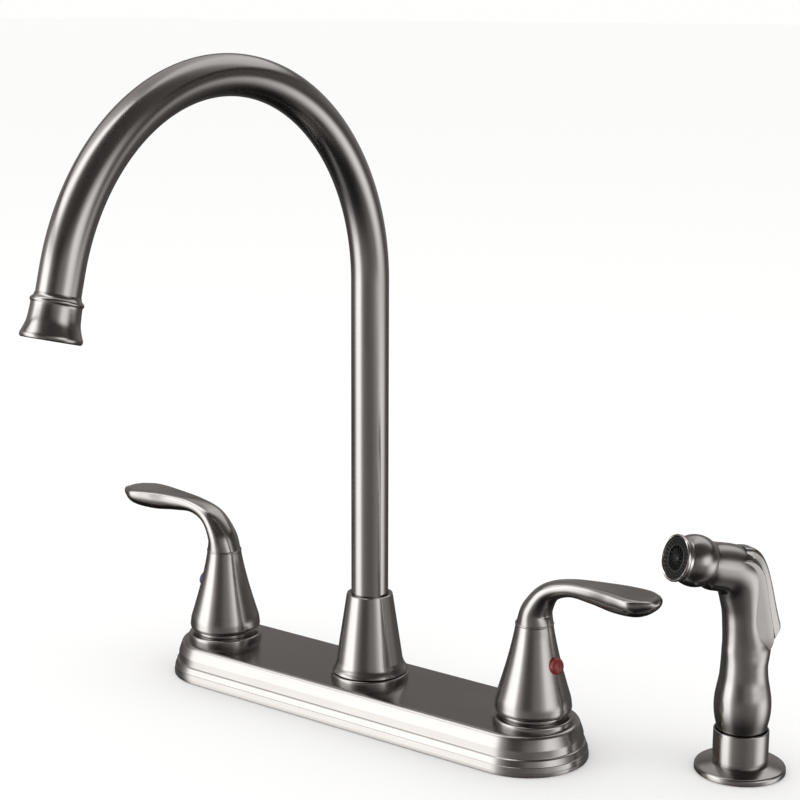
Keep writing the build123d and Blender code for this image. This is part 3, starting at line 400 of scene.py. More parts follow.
# ------------------------
# Trim rings: turned nickel-plated rings with a rounded rim, screwed down on the plate round the
# two valve necks and the spout's neck.

sides = (("left", -1), ("right", 1))
ring_top = 21.6
step_radius, step_top = 16.6, 23.5


def ring_outline(bore, outer):
    return rounded([(bore, plate_height, 0), (outer, plate_height, 0), (outer, ring_top, 1.0),
                    (bore, ring_top, 0.3)])


valve_ring = ring_outline(valve_hole, outer=20.0)[:-6]    # less its last corner, where the step is
valve_ring += rounded([(step_radius, ring_top, 0.3), (step_radius, step_top, 0.3),
                       (valve_hole, step_top, 0.2), (valve_hole, ring_top, 0)])
for side, way in sides:
    turned(side + "_collar_ring", valve_ring, "base", "brushed_nickel", nickel_round,
           side + "_trim_ring", place=at(way * handle_x))
turned("spout_collar_ring", ring_outline(spout_hole, outer=20.3), "base", "brushed_nickel", nickel_round,
       "spout_ring")

# ------------------------
# Handle bells: cast zinc, turned to a waisted bell and plated. Each sits on its valve's stem, with a
# gap above the trim ring, and is hollow below.


def through(points, steps=8):
    """A smooth open line through the points, by Catmull and Rom's rule, of any dimension."""
    p = [np.array(q, float) for q in points]
    p = [2 * p[0] - p[1]] + p + [2 * p[-1] - p[-2]]
    line = []
    for a, b, c, d in zip(p, p[1:], p[2:], p[3:]):
        for step in range(steps):
            t = step / steps
            line.append(0.5 * (2 * b + (c - a) * t + (2 * a - 5 * b + 4 * c - d) * t * t
                               + (3 * b - a - 3 * c + d) * t ** 3))
    return line + [p[-2]]


bell_top, bell_foot = 67.4, 24.0
bell_wall = [(9.25, bell_top), (10.4, 61.0), (13.0, 49.7), (16.9, 35.9), (18.55, 30.4), (19.1, 26.2)]
bell_outline = [tuple(q) for q in through(bell_wall)] + [
    (18.95, 25.1), (18.45, 24.3), (17.6, bell_foot), (16.9, bell_foot), (17.2, 26.2), (15.0, 35.9),
    (12.2, 43.0), (4.2, 43.0), (4.2, 57.4), (0, 57.4), (0, 60.4), (4.9, 60.4), (4.9, bell_top)]
for side, way in sides:
    turned(side + "_bell", bell_outline, side + "_handle", "brushed_nickel", nickel_round,
           side + "_handle_bell", 160, at(way * handle_x))

# ------------------------
# Index buttons: small moulded caps with a low dome, red for the right valve and blue for the left,
# let into the bells' walls under the levers.

rest_turn = {"left": math.radians(1.8), "right": math.radians(-3.3)}    # of each lever about its stem
button_height, button_wall = 49.0, 13.17
(upper_radius, upper), (lower_radius, lower) = bell_wall[1], bell_wall[3]
button_slope = math.atan((lower_radius - upper_radius) / (upper - lower))


def button_place(side, way):
    """Matrix of the button's seat: its Z axis leads out of the bell's wall."""
    out = Matrix.Rotation(rest_turn[side], 4, "Z") @ Matrix.Rotation(0 if way > 0 else math.pi, 4, "Z")
    seat = at(button_wall, 0, button_height) @ Matrix.Rotation(math.pi / 2 - button_slope, 4, "Y")
    return at(way * handle_x) @ out @ seat


def moulded(name, dark, light, roughness, speckle=900.0, depth=0.1, coat=0.0):
    """Moulded plastic or rubber with a fine uneven skin."""
    material, n = new_material(name)
    place = n.add("ShaderNodeTexCoord").outputs["Object"]
    skin = n.add("ShaderNodeTexNoise", {"Vector": place, "Scale": speckle, "Detail": 3.0})
    cloud = n.add("ShaderNodeTexNoise", {"Vector": place, "Scale": 40.0, "Detail": 2.0})
    blend = n.math("ADD", n.math("MULTIPLY", cloud.outputs["Fac"], 0.5),
                   n.math("MULTIPLY", skin.outputs["Fac"], 0.5))
    colour = n.ramp(blend, [(0.3, dark), (0.7, light)])
    rough = n.add("ShaderNodeMapRange", {"Value": blend, "To Min": roughness - 0.06,
                                         "To Max": roughness + 0.06}).outputs[0]
    bump = n.add("ShaderNodeBump", {"Height": skin.outputs["Fac"], "Strength": depth, "Distance": 0.00005})
    plastic = n.add("ShaderNodeBsdfPrincipled", {"Base Color": colour, "Roughness": rough,
                                                 "Normal": bump.outputs[0], "Coat Weight": coat})
    n.add("ShaderNodeOutputMaterial", {"Surface": plastic.outputs[0]})
    return material


button_red = moulded("button_red", (0.15, 0.010, 0.008), (0.20, 0.015, 0.012), roughness=0.38, coat=0.2)
button_blue = moulded("button_blue", (0.010, 0.024, 0.15), (0.016, 0.036, 0.20), roughness=0.38, coat=0.2)
button_outline = [(0, -2.6), (4.2, -2.6), (4.2, 0.9), (4.05, 1.5), (3.65, 2.0), (2.9, 2.45), (1.6, 2.8),
                  (0, 2.9)]
for (side, way), slot, finish in zip(sides, ("blue_button", "red_button"), (button_blue, button_red)):
    turned(side + "_button", button_outline, side + "_handle", slot, finish, side + "_index_button",
           64, button_place(side, way), 50)

# ------------------------
# Levers: cast and polished swan necks that swell to a flat-topped paddle, brushed lengthways. A
# thin bead at the foot covers the joint with the bell.

# reach, height, half width, half thickness, and the share of the thickness above the middle
lever_stations = [
    (0.0, bell_top, 9.2, 9.2, 0.50), (1.4, 75.5, 8.9, 7.1, 0.50), (8.4, 85.2, 7.5, 5.2, 0.48),
    (20.5, 89.8, 5.9, 4.3, 0.42), (35.0, 90.2, 7.0, 5.2, 0.34), (48.0, 89.7, 9.6, 6.0, 0.28),
    (59.5, 89.8, 11.1, 5.4, 0.25), (66.2, 91.3, 8.0, 3.6, 0.25), (69.4, 92.6, 4.6, 1.6, 0.25),
    (70.4, 93.0, 0.05, 0.05, 0.25)]
lever_around, lever_steps = 64, 10
lever_rows = through(lever_stations, lever_steps)
paddle_start, paddle_run = 2, 30        # where the top starts to flatten, and over what reach
paddle_dish, paddle_square = 0.22, 0.42
bead_outline = [(6.0, 67.5), (9.1, 67.5), (9.4, 67.65), (9.52, 67.95), (9.5, 68.25), (9.35, 68.5),
                (9.0, 68.6), (6.0, 68.6)]


def skin(name, rings, closed=False):
    """A skin over rings of points in millimetres, capped at both ends or closed on itself, with a
    brush map that gives the millimetres round the piece and along it."""
    around, count = len(rings[0]), len(rings)
    verts = [tuple(Vector(point) * mm) for ring in rings for point in ring]
    centres = [sum((Vector(point) for point in ring), Vector()) / around for ring in rings]
    run = [0.0]
    for a, b in zip(centres, centres[1:]):
        run.append(run[-1] + (b - a).length)
    middle = rings[count // 2]
    step = sum((Vector(a) - Vector(b)).length for a, b in zip(middle, middle[1:])) / (around - 1)
    faces, brush = [], []
    for i in range(count if closed else count - 1):
        m = (i + 1) % count
        for j in range(around):
            k = (j + 1) % around
            faces.append((i * around + j, i * around + k, m * around + k, m * around + j))
            far = run[min(i + 1, count - 1)]
            brush += [(j * step, run[i]), (j * step + step, run[i]), (j * step + step, far), (j * step, far)]
    if not closed:
        for first in (0, (count - 1) * around):
            faces.append(tuple(range(first, first + around)))
            brush += [(j * step, 0.0) for j in range(around)]
    mesh = mesh_of(name, verts, faces)
    brush_map = mesh.uv_layers.new(name="brush")
    brush_map.data.foreach_set("uv", [value for pair in brush for value in pair])
    return mesh


def lever_rings(side, way):
    """Sections of the lever from its foot to its tip, each square to the lever's line."""
    yaw = Matrix.Rotation(rest_turn[side], 4, "Z")
    rings = []
    for i, (out, height, half_width, half_thickness, share) in enumerate(lever_rows):
        step = lever_rows[min(i + 1, len(lever_rows) - 1)] - lever_rows[max(i - 1, 0)]
        ease = min(1.0, i / lever_steps)
        ahead = Vector((step[0], step[1])).normalized() * ease + Vector((0, 1 - ease))
        run, rise = ahead.normalized()
        top = 2 * half_thickness * share
        belly = 2 * half_thickness - top
        flat = min(1.0, max(0.0, (out - paddle_start) / paddle_run))
        dish = paddle_dish * top
        ring = []
        for j in range(lever_around):
            a = 2 * math.pi * j / lever_around
            cosine, sine = math.cos(a), math.sin(a)
            power = 1 - paddle_square * flat if sine > 0 else 1.0
            across = half_width * math.copysign(abs(cosine) ** power, cosine)
            lift = top * sine ** power - dish * flat * sine ** 4 if sine > 0 else belly * sine
            up = half_thickness - top + lift
            point = Vector((way * (out - rise * up), across, height + run * up))
            ring.append(yaw @ point + Vector((way * handle_x, 0, 0)))
        rings.append(ring)
    return rings


def joined(name, meshes):
    """One mesh from several."""
    builder = bmesh.new()
    for mesh in meshes:
        builder.from_mesh(mesh)
    result = bpy.data.meshes.new(name)
    builder.to_mesh(result)
    builder.free()
    return smoothed(result, 40)


nickel_mapped = brushed_metal("nickel_brushed_mapped", (7.0, 0.10, 1.0), nickel_dark, nickel_light,
                              roughness=0.19, spread=0.07, depth=0.14, on_map=True)
for side, way in sides:
    blade = shaded(skin(side + "_blade", lever_rings(side, way)), 60)
    bead = shaded(lathe(side + "_bead", bead_outline, place=at(way * handle_x)))
    lever = to_piece(side + "_swan_lever", joined(side + "_swan_lever", [blade, bead]))
    dress(lever, side + "_handle", "brushed_nickel", nickel_mapped, side + "_lever")

# ------------------------
# Spout hub: turned brass cone with a flared foot and a chamfered mouth, plated and brushed round.
# It is screwed on the middle casting's neck.

hub_outline = [(19.6, 22.2), (19.75, 22.55), (19.6, 22.95)]
hub_outline += [tuple(q) for q in through([(19.1, 24.0), (18.1, 25.6), (17.5, 27.2)], 4)]
hub_outline += [(17.2, 28.0), (11.95, 62.7), (11.8, 63.2), (11.3, 63.5), (9.95, 63.5), (9.9, 63.1),
                (9.9, 48.0), (11.8, 47.7), (11.8, 45.7), (spout_hole, 45.7), (spout_hole, 22.2)]
turned("hub_cone", hub_outline, "base", "brushed_nickel", nickel_round, "spout_hub", 160, sharp=25)

# ------------------------
# Spout: drawn tube, three quarters of an inch, bent to a high gooseneck and brushed along its
# length; its foot turns in the hub on a plastic bearing.

spout_radius, spout_bore = 9.525, 8.525
spout_foot, spout_rise, spout_tail = 30.0, 225.7, 12.0
bend_radius, bend_angle = 104.1, math.radians(164.8)
bend_steps, riser_steps, tail_steps, spout_around = 110, 24, 3, 72


def on_bend(a):
    """Point and direction of the spout's centre line at an angle of its bend."""
    point = Vector((0, bend_radius * (math.cos(a) - 1), spout_rise + bend_radius * math.sin(a)))
    return point, Vector((0, -math.sin(a), math.cos(a)))


def spout_line():
    """Centre line of the spout as (point, direction): the riser, the bend and a straight tail."""
    line = []
    for step in range(riser_steps):
        z = spout_foot + (spout_rise - spout_foot) * step / riser_steps
        line.append((Vector((0, 0, z)), Vector((0, 0, 1))))
    line += [on_bend(bend_angle * step / bend_steps) for step in range(bend_steps + 1)]
    end, direction = line[-1]
    for step in range(1, tail_steps + 1):
        line.append((end + direction * (spout_tail * step / tail_steps), direction))
    return line


def tube_rings(line, radius):
    rings = []
    angles = [2 * math.pi * j / spout_around for j in range(spout_around)]
    for point, direction in line:
        up = direction.cross(Vector((1, 0, 0)))
        rings.append([point + Vector((radius * math.cos(a), 0, 0)) + up * (radius * math.sin(a))
                      for a in angles])
    return rings


spout_points = spout_line()
spout_rings = tube_rings(spout_points, spout_radius) + tube_rings(spout_points, spout_bore)[::-1]
spout = to_piece("gooseneck", shaded(skin("gooseneck", spout_rings, closed=True)))
dress(spout, "spout", "brushed_nickel", nickel_mapped, "spout_tube")

# ------------------------
# Outlet bell and aerator: a turned bell with a bead and a thick rounded foot, brazed over the
# spout's end. The aerator screws in from below with its honeycomb screen.

outlet = at(*on_bend(bend_angle)[0]) @ Matrix((
    (1, 0, 0, 0), (0, math.cos(bend_angle), -math.sin(bend_angle), 0),
    (0, math.sin(bend_angle), math.cos(bend_angle), 0), (0, 0, 0, 1)))
flare_outline = [(9.6, 10.2), (9.75, 10.25), (9.85, 10.9), (10.15, 11.6), (10.8, 12.2), (11.15, 12.6),
                 (11.3, 13.2), (11.15, 13.8), (10.8, 14.2), (10.72, 14.5), (10.75, 15.4)]
flare_outline += [tuple(q) for q in through([(10.78, 17.0), (11.15, 21.5), (12.0, 24.6), (13.0, 27.2)], 5)]
flare_outline += [(13.12, 27.8), (13.08, 28.5), (12.8, 29.1), (12.3, 29.4), (9.6, 29.4), (9.35, 29.1),
                  (9.35, 15.4), (spout_bore, 15.4), (spout_bore, 12.1), (9.575, 12.1)]
turned("outlet_flare", flare_outline, "spout", "brushed_nickel", nickel_round, "outlet_bell", 128,
       outlet, 30)


def in_metres(place):
    """The same place in metres."""
    scaled = place.copy()
    scaled.translation = place.translation * mm
    return scaled


def geometry_group(name, **kinds):
    """A geometry node group with these inputs and a finish: the group, its nodes and its inputs."""
    group = bpy.data.node_groups.new(name, "GeometryNodeTree")
    for socket, kind in {"Geometry": "Geometry", **kinds, "Finish": "Material"}.items():
        group.interface.new_socket(socket, in_out="INPUT", socket_type="NodeSocket" + kind)
    group.interface.new_socket("Geometry", in_out="OUTPUT", socket_type="NodeSocketGeometry")
    n = Nodes(group)
    return group, n, n.add("NodeGroupInput").outputs


def finish_group(n, geometry, finish):
    """Ends a geometry tree with real geometry in its finish."""
    solid = n.add("GeometryNodeRealizeInstances", {"Geometry": geometry})
    painted = n.add("GeometryNodeSetMaterial", {"Geometry": solid.outputs[0], "Material": finish})
    n.add("NodeGroupOutput", {"Geometry": painted.outputs[0]})


def grown(name, group, values, place):
    """A plain mesh made by a geometry node group with the given inputs, set in its place. Its
    material comes from dress, with the piece that it joins."""
    carrier = to_piece(name, bpy.data.meshes.new(name))
    modifier = carrier.modifiers.new(name, "NODES")
    modifier.node_group = group
    for item in group.interface.items_tree:
        if item.in_out == "INPUT" and item.name in values:
            modifier[item.identifier] = values[item.name]
    carrier.update_tag()
    evaluated = carrier.evaluated_get(bpy.context.evaluated_depsgraph_get())
    mesh = bpy.data.meshes.new_from_object(evaluated)
    carrier.modifiers.clear()
    bpy.data.objects.remove(carrier)
    mesh.materials.clear()
    mesh.transform(place)
    return mesh


def honeycomb():
    """Geometry nodes that set a cell on each point of a hexagonal lattice inside a circle."""
    group, n, given = geometry_group("honeycomb", Pitch="Float", Radius="Float", Piece="Object")
    lattice, pitch = 21, given["Pitch"]
    row_pitch = n.math("MULTIPLY", pitch, math.sqrt(3) / 2)
    grid = n.add("GeometryNodeMeshGrid", {
        "Size X": n.math("MULTIPLY", pitch, lattice - 1.0),
        "Size Y": n.math("MULTIPLY", row_pitch, lattice - 1.0),
        "Vertices X": lattice, "Vertices Y": lattice}).outputs[0]
    spot = n.add("ShaderNodeSeparateXYZ", {0: n.add("GeometryNodeInputPosition").outputs[0]})
    row = n.math("ROUND", n.math("DIVIDE", spot.outputs["Y"], row_pitch))
    odd = n.math("FLOORED_MODULO", row, 2.0)
    shift = n.add("ShaderNodeCombineXYZ", {"X": n.math("MULTIPLY", n.math("MULTIPLY", odd, pitch), 0.5)})
    moved = n.add("GeometryNodeSetPosition", {"Geometry": grid, "Offset": shift.outputs[0]}).outputs[0]
    spot = n.add("GeometryNodeInputPosition").outputs[0]
    reach = n.add("ShaderNodeVectorMath", {0: spot}, operation="LENGTH")
    outside = n.math("GREATER_THAN", reach.outputs["Value"], given["Radius"])
    kept = n.add("GeometryNodeDeleteGeometry", {"Geometry": moved, "Selection": outside}).outputs[0]
    shape = n.add("GeometryNodeObjectInfo", {"Object": given["Piece"]}).outputs["Geometry"]
    cells = n.add("GeometryNodeInstanceOnPoints", {"Points": kept, "Instance": shape,
                                                   "Rotation": (0, 0, math.pi / 6)})
    finish_group(n, cells.outputs[0], given["Finish"])
    return group


screen_white = moulded("screen_white", (0.60, 0.60, 0.58), (0.70, 0.70, 0.68), roughness=0.35,
                       speckle=800)
screen_low, screen_high, screen_reach, cell_pitch = 25.5, 28.0, 6.9, 1.5
cell = to_piece("cell", lathe("cell", sleeve(0.62, 0.85, 0, 2.4), around=6))
cells = grown("cells", honeycomb(), {"Pitch": cell_pitch * mm, "Radius": screen_reach * mm, "Piece": cell,
                                     "Finish": screen_white}, in_metres(outlet) @ at(0, 0, screen_low * mm))
bpy.data.objects.remove(cell)
screen_rim = lathe("screen_rim", sleeve(7.3, 8.05, screen_low, screen_high), 96, outlet)
screen = shaded(joined("honeycomb_screen", [screen_rim, cells]))
dress(to_piece("honeycomb_screen", screen), "spout", "white_plastic", screen_white, "aerator_screen")

# ------------------------
# Side spray holder: turned cup with a threaded shank that goes down through the worktop, standing in
# a round flange. The foot of the spray rests in the cup.

spray_x, spray_y, spray_turn = 190.4, 47.1, math.radians(-28.7)
spray = at(spray_x, spray_y) @ Matrix.Rotation(spray_turn, 4, "Z")
flange_outline = rounded([(13.4, 0, 0), (21.9, 0, 0.2), (21.9, 3.0, 1.4), (14.6, 4.5, 0.3), (13.4, 4.6, 0)])
turned("holder_flange", flange_outline, "base", "brushed_nickel", nickel_round, "spray_flange", 140,
       spray, 30)
cup_outline = rounded([(9.0, -44, 0), (12.5, -44, 0.6), (12.5, 0, 0), (13.35, 0, 0), (13.35, 21.0, 0.5),
                       (12.4, 21.0, 0.35), (12.4, 10.5, 0), (9.0, 10.5, 0)])
turned("holder_cup", cup_outline, "base", "brushed_nickel", nickel_round, "spray_holder", 140, spray, 30)


def screw_thread():
    """Geometry nodes that wind a ridge with a sharp crest up a shank."""
    group, n, given = geometry_group("screw_thread", Radius="Float", Rise="Float", Turns="Float",
                                     Depth="Float")
    winding = n.add("GeometryNodeCurveSpiral", {
        "Resolution": 40, "Rotations": given["Turns"], "Start Radius": given["Radius"],
        "End Radius": given["Radius"], "Height": given["Rise"]}).outputs[0]
    upright = n.add("GeometryNodeSetCurveNormal", {"Curve": winding}, mode="Z_UP").outputs[0]
    crest = n.add("GeometryNodeCurvePrimitiveCircle", {"Resolution": 4, "Radius": given["Depth"]}).outputs[0]
    ridge = n.add("GeometryNodeCurveToMesh", {"Curve": upright, "Profile Curve": crest, "Fill Caps": True})
    finish_group(n, ridge.outputs[0], given["Finish"])
    return group


thread = screw_thread()
thread_sink, thread_share = 0.05, 0.32    # how deep the ridge sits, and its depth as a share of the pitch


def threaded(name, x, y, radius, pitch, runs, slot, finish):
    """Thread round an upright shank, over each run (low, high) of its length."""
    windings = []
    for low, high in runs:
        rise = high - low
        sizes = {"Radius": (radius - thread_sink) * mm, "Rise": rise * mm, "Turns": rise / pitch,
                 "Depth": thread_share * pitch * mm, "Finish": finish}
        windings.append(grown(name, thread, sizes, at(x * mm, y * mm, low * mm)))
    dress(to_piece(name, shaded(joined(name, windings), 30)), "base", slot, finish)


threaded("holder_thread", spray_x, spray_y, radius=12.5, pitch=2.0, runs=[(-43.4, -1.5)],
         slot="brushed_nickel", finish=nickel_round)

# ------------------------
# Side spray: a moulded and plated grip that bends over to the nozzle, with a slot in its back for
# the trigger, and a ball-shaped collar that clamps the nozzle ring and its black face.

head_tilt = math.radians(13.7)
head_back, head_height = -30.2, 108.3
head = spray @ at(0, head_back, head_height) @ Matrix((
    (1, 0, 0, 0), (0, math.sin(head_tilt), -math.cos(head_tilt), 0),
    (0, math.cos(head_tilt), math.sin(head_tilt), 0), (0, 0, 0, 1)))
# the grip's stations: back, height, lean of the section in degrees, half depth, half width
grip_rows = [(0, 14.55, 90, 10.4, 10.4), (0, 21.6, 90, 12.0, 12.0), (0, 27.4, 90, 13.25, 13.25),
             (0, 32.5, 90, 13.7, 13.7), (0, 37.5, 90, 13.45, 13.45), (0, 42.5, 90, 12.6, 12.6),
             (0, 47.5, 90, 11.7, 11.7), (0.0, 53.0, 90, 11.3, 11.3), (0.4, 57.0, 90, 11.6, 11.1),
             (0.7, 61.5, 90, 12.0, 10.6), (-0.3, 65.8, 90, 10.9, 10.1), (-2.4, 73.7, 93, 9.1, 9.6),
             (-3.0, 83.4, 101, 9.7, 9.6), (-4.4, 95.7, 125, 12.4, 10.2), (-10.0, 101.8, 148, 12.1, 10.6),
             (-21.15, 104.86, 166.3, 11.4, 10.5), (-24.27, 106.44, 166.3, 10.9, 10.4)]
grip_around = 96


def grip_rings():
    """Oval sections of the grip from its foot up to the head."""
    rings = []
    for back, height, lean, half_depth, half_width in through(grip_rows, 8):
        a = math.radians(lean)
        ring = []
        for j in range(grip_around):
            t = 2 * math.pi * j / grip_around
            x, y = half_width * math.cos(t), half_depth * math.sin(t)
            ring.append(spray @ Vector((x, back + y * math.sin(a), height - y * math.cos(a))))
        rings.append(ring)
    return rings


# flat-sided rear of the grip round the trigger: its rear line and its front line inside the column
shield_rear = [(6.0, 58.6), (9.6, 62.4), (10.5, 67.0), (9.5, 73.4), (6.9, 85.0), (4.6, 96.0), (1.6, 103.0),
               (-3.0, 107.0), (-9.0, 108.2)]
shield_front = [(-9.0, 98.0), (-5.0, 85.0), (-2.5, 74.0), (0.0, 64.0), (1.0, 59.0)]
shield_half, shield_edge, shield_sections = 9.35, 0.9, 60
side_shares = (0, 0.35, 0.7)    # where the points of its straight sides lie
shield_waist, shield_drop, shield_narrow = 73, 14.4, 0.22    # it narrows below the waist


def evenly(line, count):
    """The line's points spread evenly along it."""
    lengths = np.cumsum([0] + [np.linalg.norm(b - a) for a, b in zip(line, line[1:])])
    places = np.linspace(0, lengths[-1], count)
    return np.stack([np.interp(places, lengths, [q[k] for q in line]) for k in (0, 1)], 1)


def rear_corners(half, depth, radius, count):
    """The two rounded rear corners of a section, from its left side to its right."""
    corners = []
    for side, first in ((-1, 180), (1, 90)):
        for step in range(count):
            a = math.radians(first - 90 * step / (count - 1))
            corners.append((side * (half - radius) + radius * math.cos(a),
                            depth - radius + radius * math.sin(a)))
    return corners


def shield_rings():
    """Sections of the shield from its lower corner up to the head, with rounded rear corners."""
    rear = evenly(through(shield_rear, 6), shield_sections)
    front = evenly(through(shield_front[::-1], 6), shield_sections)
    rings = []
    for back, fore in zip(rear, front):
        depth = np.linalg.norm(back - fore)
        toward = (back - fore) / depth
        half = shield_half * (1 - shield_narrow * (max(0.0, shield_waist - back[1]) / shield_drop) ** 2)
        section = [(-half, share * (depth - shield_edge)) for share in side_shares]
        section += rear_corners(half, depth, shield_edge, 7)
        section += [(half, share * (depth - shield_edge)) for share in side_shares[::-1]]
        rings.append([spray @ Vector((x, *(fore + toward * reach))) for x, reach in section])
    return rings


trigger_outer = [(-4.7, 112.6), (0.0, 111.8), (3.6, 109.8), (6.4, 106.4), (9.2, 100.6), (12.0, 91.7),
                 (14.6, 81.8), (17.0, 73.8)]
trigger_inner = [(11.3, 64.7), (9.5, 72.0), (7.4, 81.5), (5.6, 90.8), (3.9, 97.8), (1.8, 102.2),
                 (-1.5, 104.9)]
trigger_heel = (16.5, 69.4)
trigger_width, trigger_gap, trigger_press = 11.4, 0.35, math.radians(5.2)
pivot_back, pivot_height = -2.0, 107.6


def pressed(point):
    """Where a point of the trigger lies when it is pressed, less the clearance."""
    back, rise = point[0] - pivot_back, point[1] - pivot_height
    moved_back = back * math.cos(trigger_press) + rise * math.sin(trigger_press)
    moved_rise = rise * math.cos(trigger_press) - back * math.sin(trigger_press)
    return np.array((pivot_back + moved_back - trigger_gap, pivot_height + moved_rise - trigger_gap))


def prism(name, outline, width, place):
    """A bar with the outline (back, height), as wide as given, across the spray."""
    count = len(outline)
    verts = [tuple((place @ Vector((x, *point))) * mm) for x in (-width / 2, width / 2) for point in outline]
    faces = [(i, (i + 1) % count, count + (i + 1) % count, count + i) for i in range(count)]
    faces += [tuple(range(count)), tuple(range(count, 2 * count))]
    return shaded(mesh_of(name, verts, faces))


slot_top, slot_back = 122.6, 33.0    # outside the grip
slot_floor = [tuple(q) for q in through([pressed(p) for p in trigger_inner], 6)]
slot_front = pressed((trigger_outer[0][0], trigger_inner[-1][1]))[0]
heel_back, heel_low = trigger_inner[0][0], trigger_inner[0][1] - 2 * trigger_gap
heel_slope = (trigger_heel[1] - trigger_inner[0][1]) / (trigger_heel[0] - heel_back)
slot_outline = slot_floor + [
    (slot_front, slot_floor[-1][1]), (slot_front, slot_top), (slot_back, slot_top),
    (slot_back, heel_low + heel_slope * (slot_back - heel_back)), (heel_back, heel_low)]
satin_nickel = brushed_metal("nickel_satin", (220, 220, 220), (0.30, 0.288, 0.279), (0.37, 0.356, 0.346),
                             roughness=0.20, spread=0.05, depth=0.05)
pieces = []
for name, rings in (("column", grip_rings()), ("shield", shield_rings())):
    solid = to_piece(name, shaded(skin(name, rings), 50))
    slot = to_piece("slot", prism("slot", slot_outline, trigger_width + 2 * trigger_gap, spray))
    pieces.append(cut(solid, slot))
spigot_bore, spigot_low, spigot_high = 6.1, 10, 25.2    # room for the hose's end fitting
drill(pieces[0], spigot_bore, spigot_low, spigot_high, 48, spray)
grip = to_piece("spray_grip", joined("spray_grip", [piece.data for piece in pieces]))
for piece in pieces:
    bpy.data.objects.remove(piece)
dress(grip, "spray", "satin_nickel", satin_nickel, "spray_body")

ball_radius, ball_low, ball_high = 12.4, -math.pi / 6, 0.62    # with the angles of its ends
ball = [(ball_radius * math.cos(a), ball_radius * math.sin(a)) for a in np.linspace(ball_low, ball_high, 30)]
collar_outline = [(8.15, -6.2), (10.3, -6.35)] + ball + [(9.9, 7.3), (8.15, 7.3)]
turned("ball_collar", collar_outline, "spray", "satin_nickel", satin_nickel, "spray_collar", 128, head)
bright_nickel = brushed_metal("nickel_bright", (400, 400, 400), (0.52, 0.50, 0.48), (0.60, 0.58, 0.56),
                              roughness=0.10, spread=0.03, depth=0.02)
rim_outline = [(9.95, 7.3), (10.15, 7.3), (10.3, 7.5), (10.3, 8.6), (10.45, 9.1), (10.85, 9.45), (11.1, 9.8),
               (11.15, 10.3), (11.15, 10.8), (11.0, 11.2), (10.7, 11.4), (10.35, 11.3), (10.05, 10.9),
               (9.95, 10.4)]
turned("nozzle_rim", rim_outline, "spray", "bright_nickel", bright_nickel, "nozzle_ring", 128, head)
pin_radius, pin_half = 1.1, 6.4
across = spray @ at(0, pivot_back, pivot_height) @ Matrix.Rotation(math.pi / 2, 4, "Y")
steel = brushed_metal("plain_steel", (300, 300, 1500), (0.42, 0.42, 0.43), (0.56, 0.56, 0.57),
                      roughness=0.28, spread=0.1)
turned("hinge_pin", sleeve(0, pin_radius, -pin_half, pin_half), "spray", "steel", steel,
       "trigger_pin", 32, across)

# ------------------------
# Spray face: black acetal plate clamped in the nozzle ring, with a ring of fine jets near its rim,
# a raised ring inside it and a well with curved vanes that swirl the middle jet.


def ring_pattern():
    """Geometry nodes that set copies of a piece round a circle, each turned with its place."""
    group, n, given = geometry_group("ring_pattern", Count="Int", Radius="Float", Piece="Object")
    circle = n.add("GeometryNodeMeshCircle", {"Vertices": given["Count"], "Radius": given["Radius"]})
    share = n.math("DIVIDE", n.add("GeometryNodeInputIndex").outputs[0], given["Count"])
    angle = n.add("ShaderNodeCombineXYZ", {"Z": n.math("MULTIPLY", share, 2 * math.pi)})
    shape = n.add("GeometryNodeObjectInfo", {"Object": given["Piece"]}).outputs["Geometry"]
    copies = n.add("GeometryNodeInstanceOnPoints", {"Points": circle.outputs[0], "Instance": shape,
                                                    "Rotation": angle.outputs[0]})
    finish_group(n, copies.outputs[0], given["Finish"])
    return group


ring_of_copies = ring_pattern()
black_plastic = moulded("black_plastic", (0.010, 0.010, 0.011), (0.026, 0.025, 0.024), roughness=0.27,
                        depth=0.2)
face_outline = [(0, 8.1), (9.9, 8.1), (9.9, 10.35), (9.75, 10.5), (6.75, 10.5), (6.65, 10.75), (6.3, 10.85),
                (5.95, 10.75), (5.8, 10.4), (5.6, 9.3), (0, 9.3)]
jet = to_piece("jet", lathe("jet", [(0.18, 0), (0.55, 0), (0.44, 0.55), (0.18, 0.55)], 12))
# the vanes' curve, outward from the knob in the middle
vane_line = [(1.1 + 0.62 * step, 0.10 * step * step) for step in range(8)]
vane_low, vane_top, vane_half, vane_count = 9.2, 10.35, 0.2, len(vane_line)
vane_points = [(x * mm, (y + t) * mm, (z - vane_low) * mm)
               for t in (-vane_half, vane_half) for z in (vane_low, vane_top) for x, y in vane_line]
# rows of points that a strip of faces joins: the two sides, then the underside and the top
strips = [(first * vane_count, second * vane_count) for first, second in ((0, 1), (2, 3), (0, 2), (1, 3))]
vane_faces = [(first + i, first + i + 1, second + i + 1, second + i)
              for first, second in strips for i in range(vane_count - 1)]
vane_faces += [(i, i + vane_count, i + 3 * vane_count, i + 2 * vane_count) for i in (0, vane_count - 1)]
vane = to_piece("vane", shaded(mesh_of("vane", vane_points, vane_faces)))
jet_low = 10.4
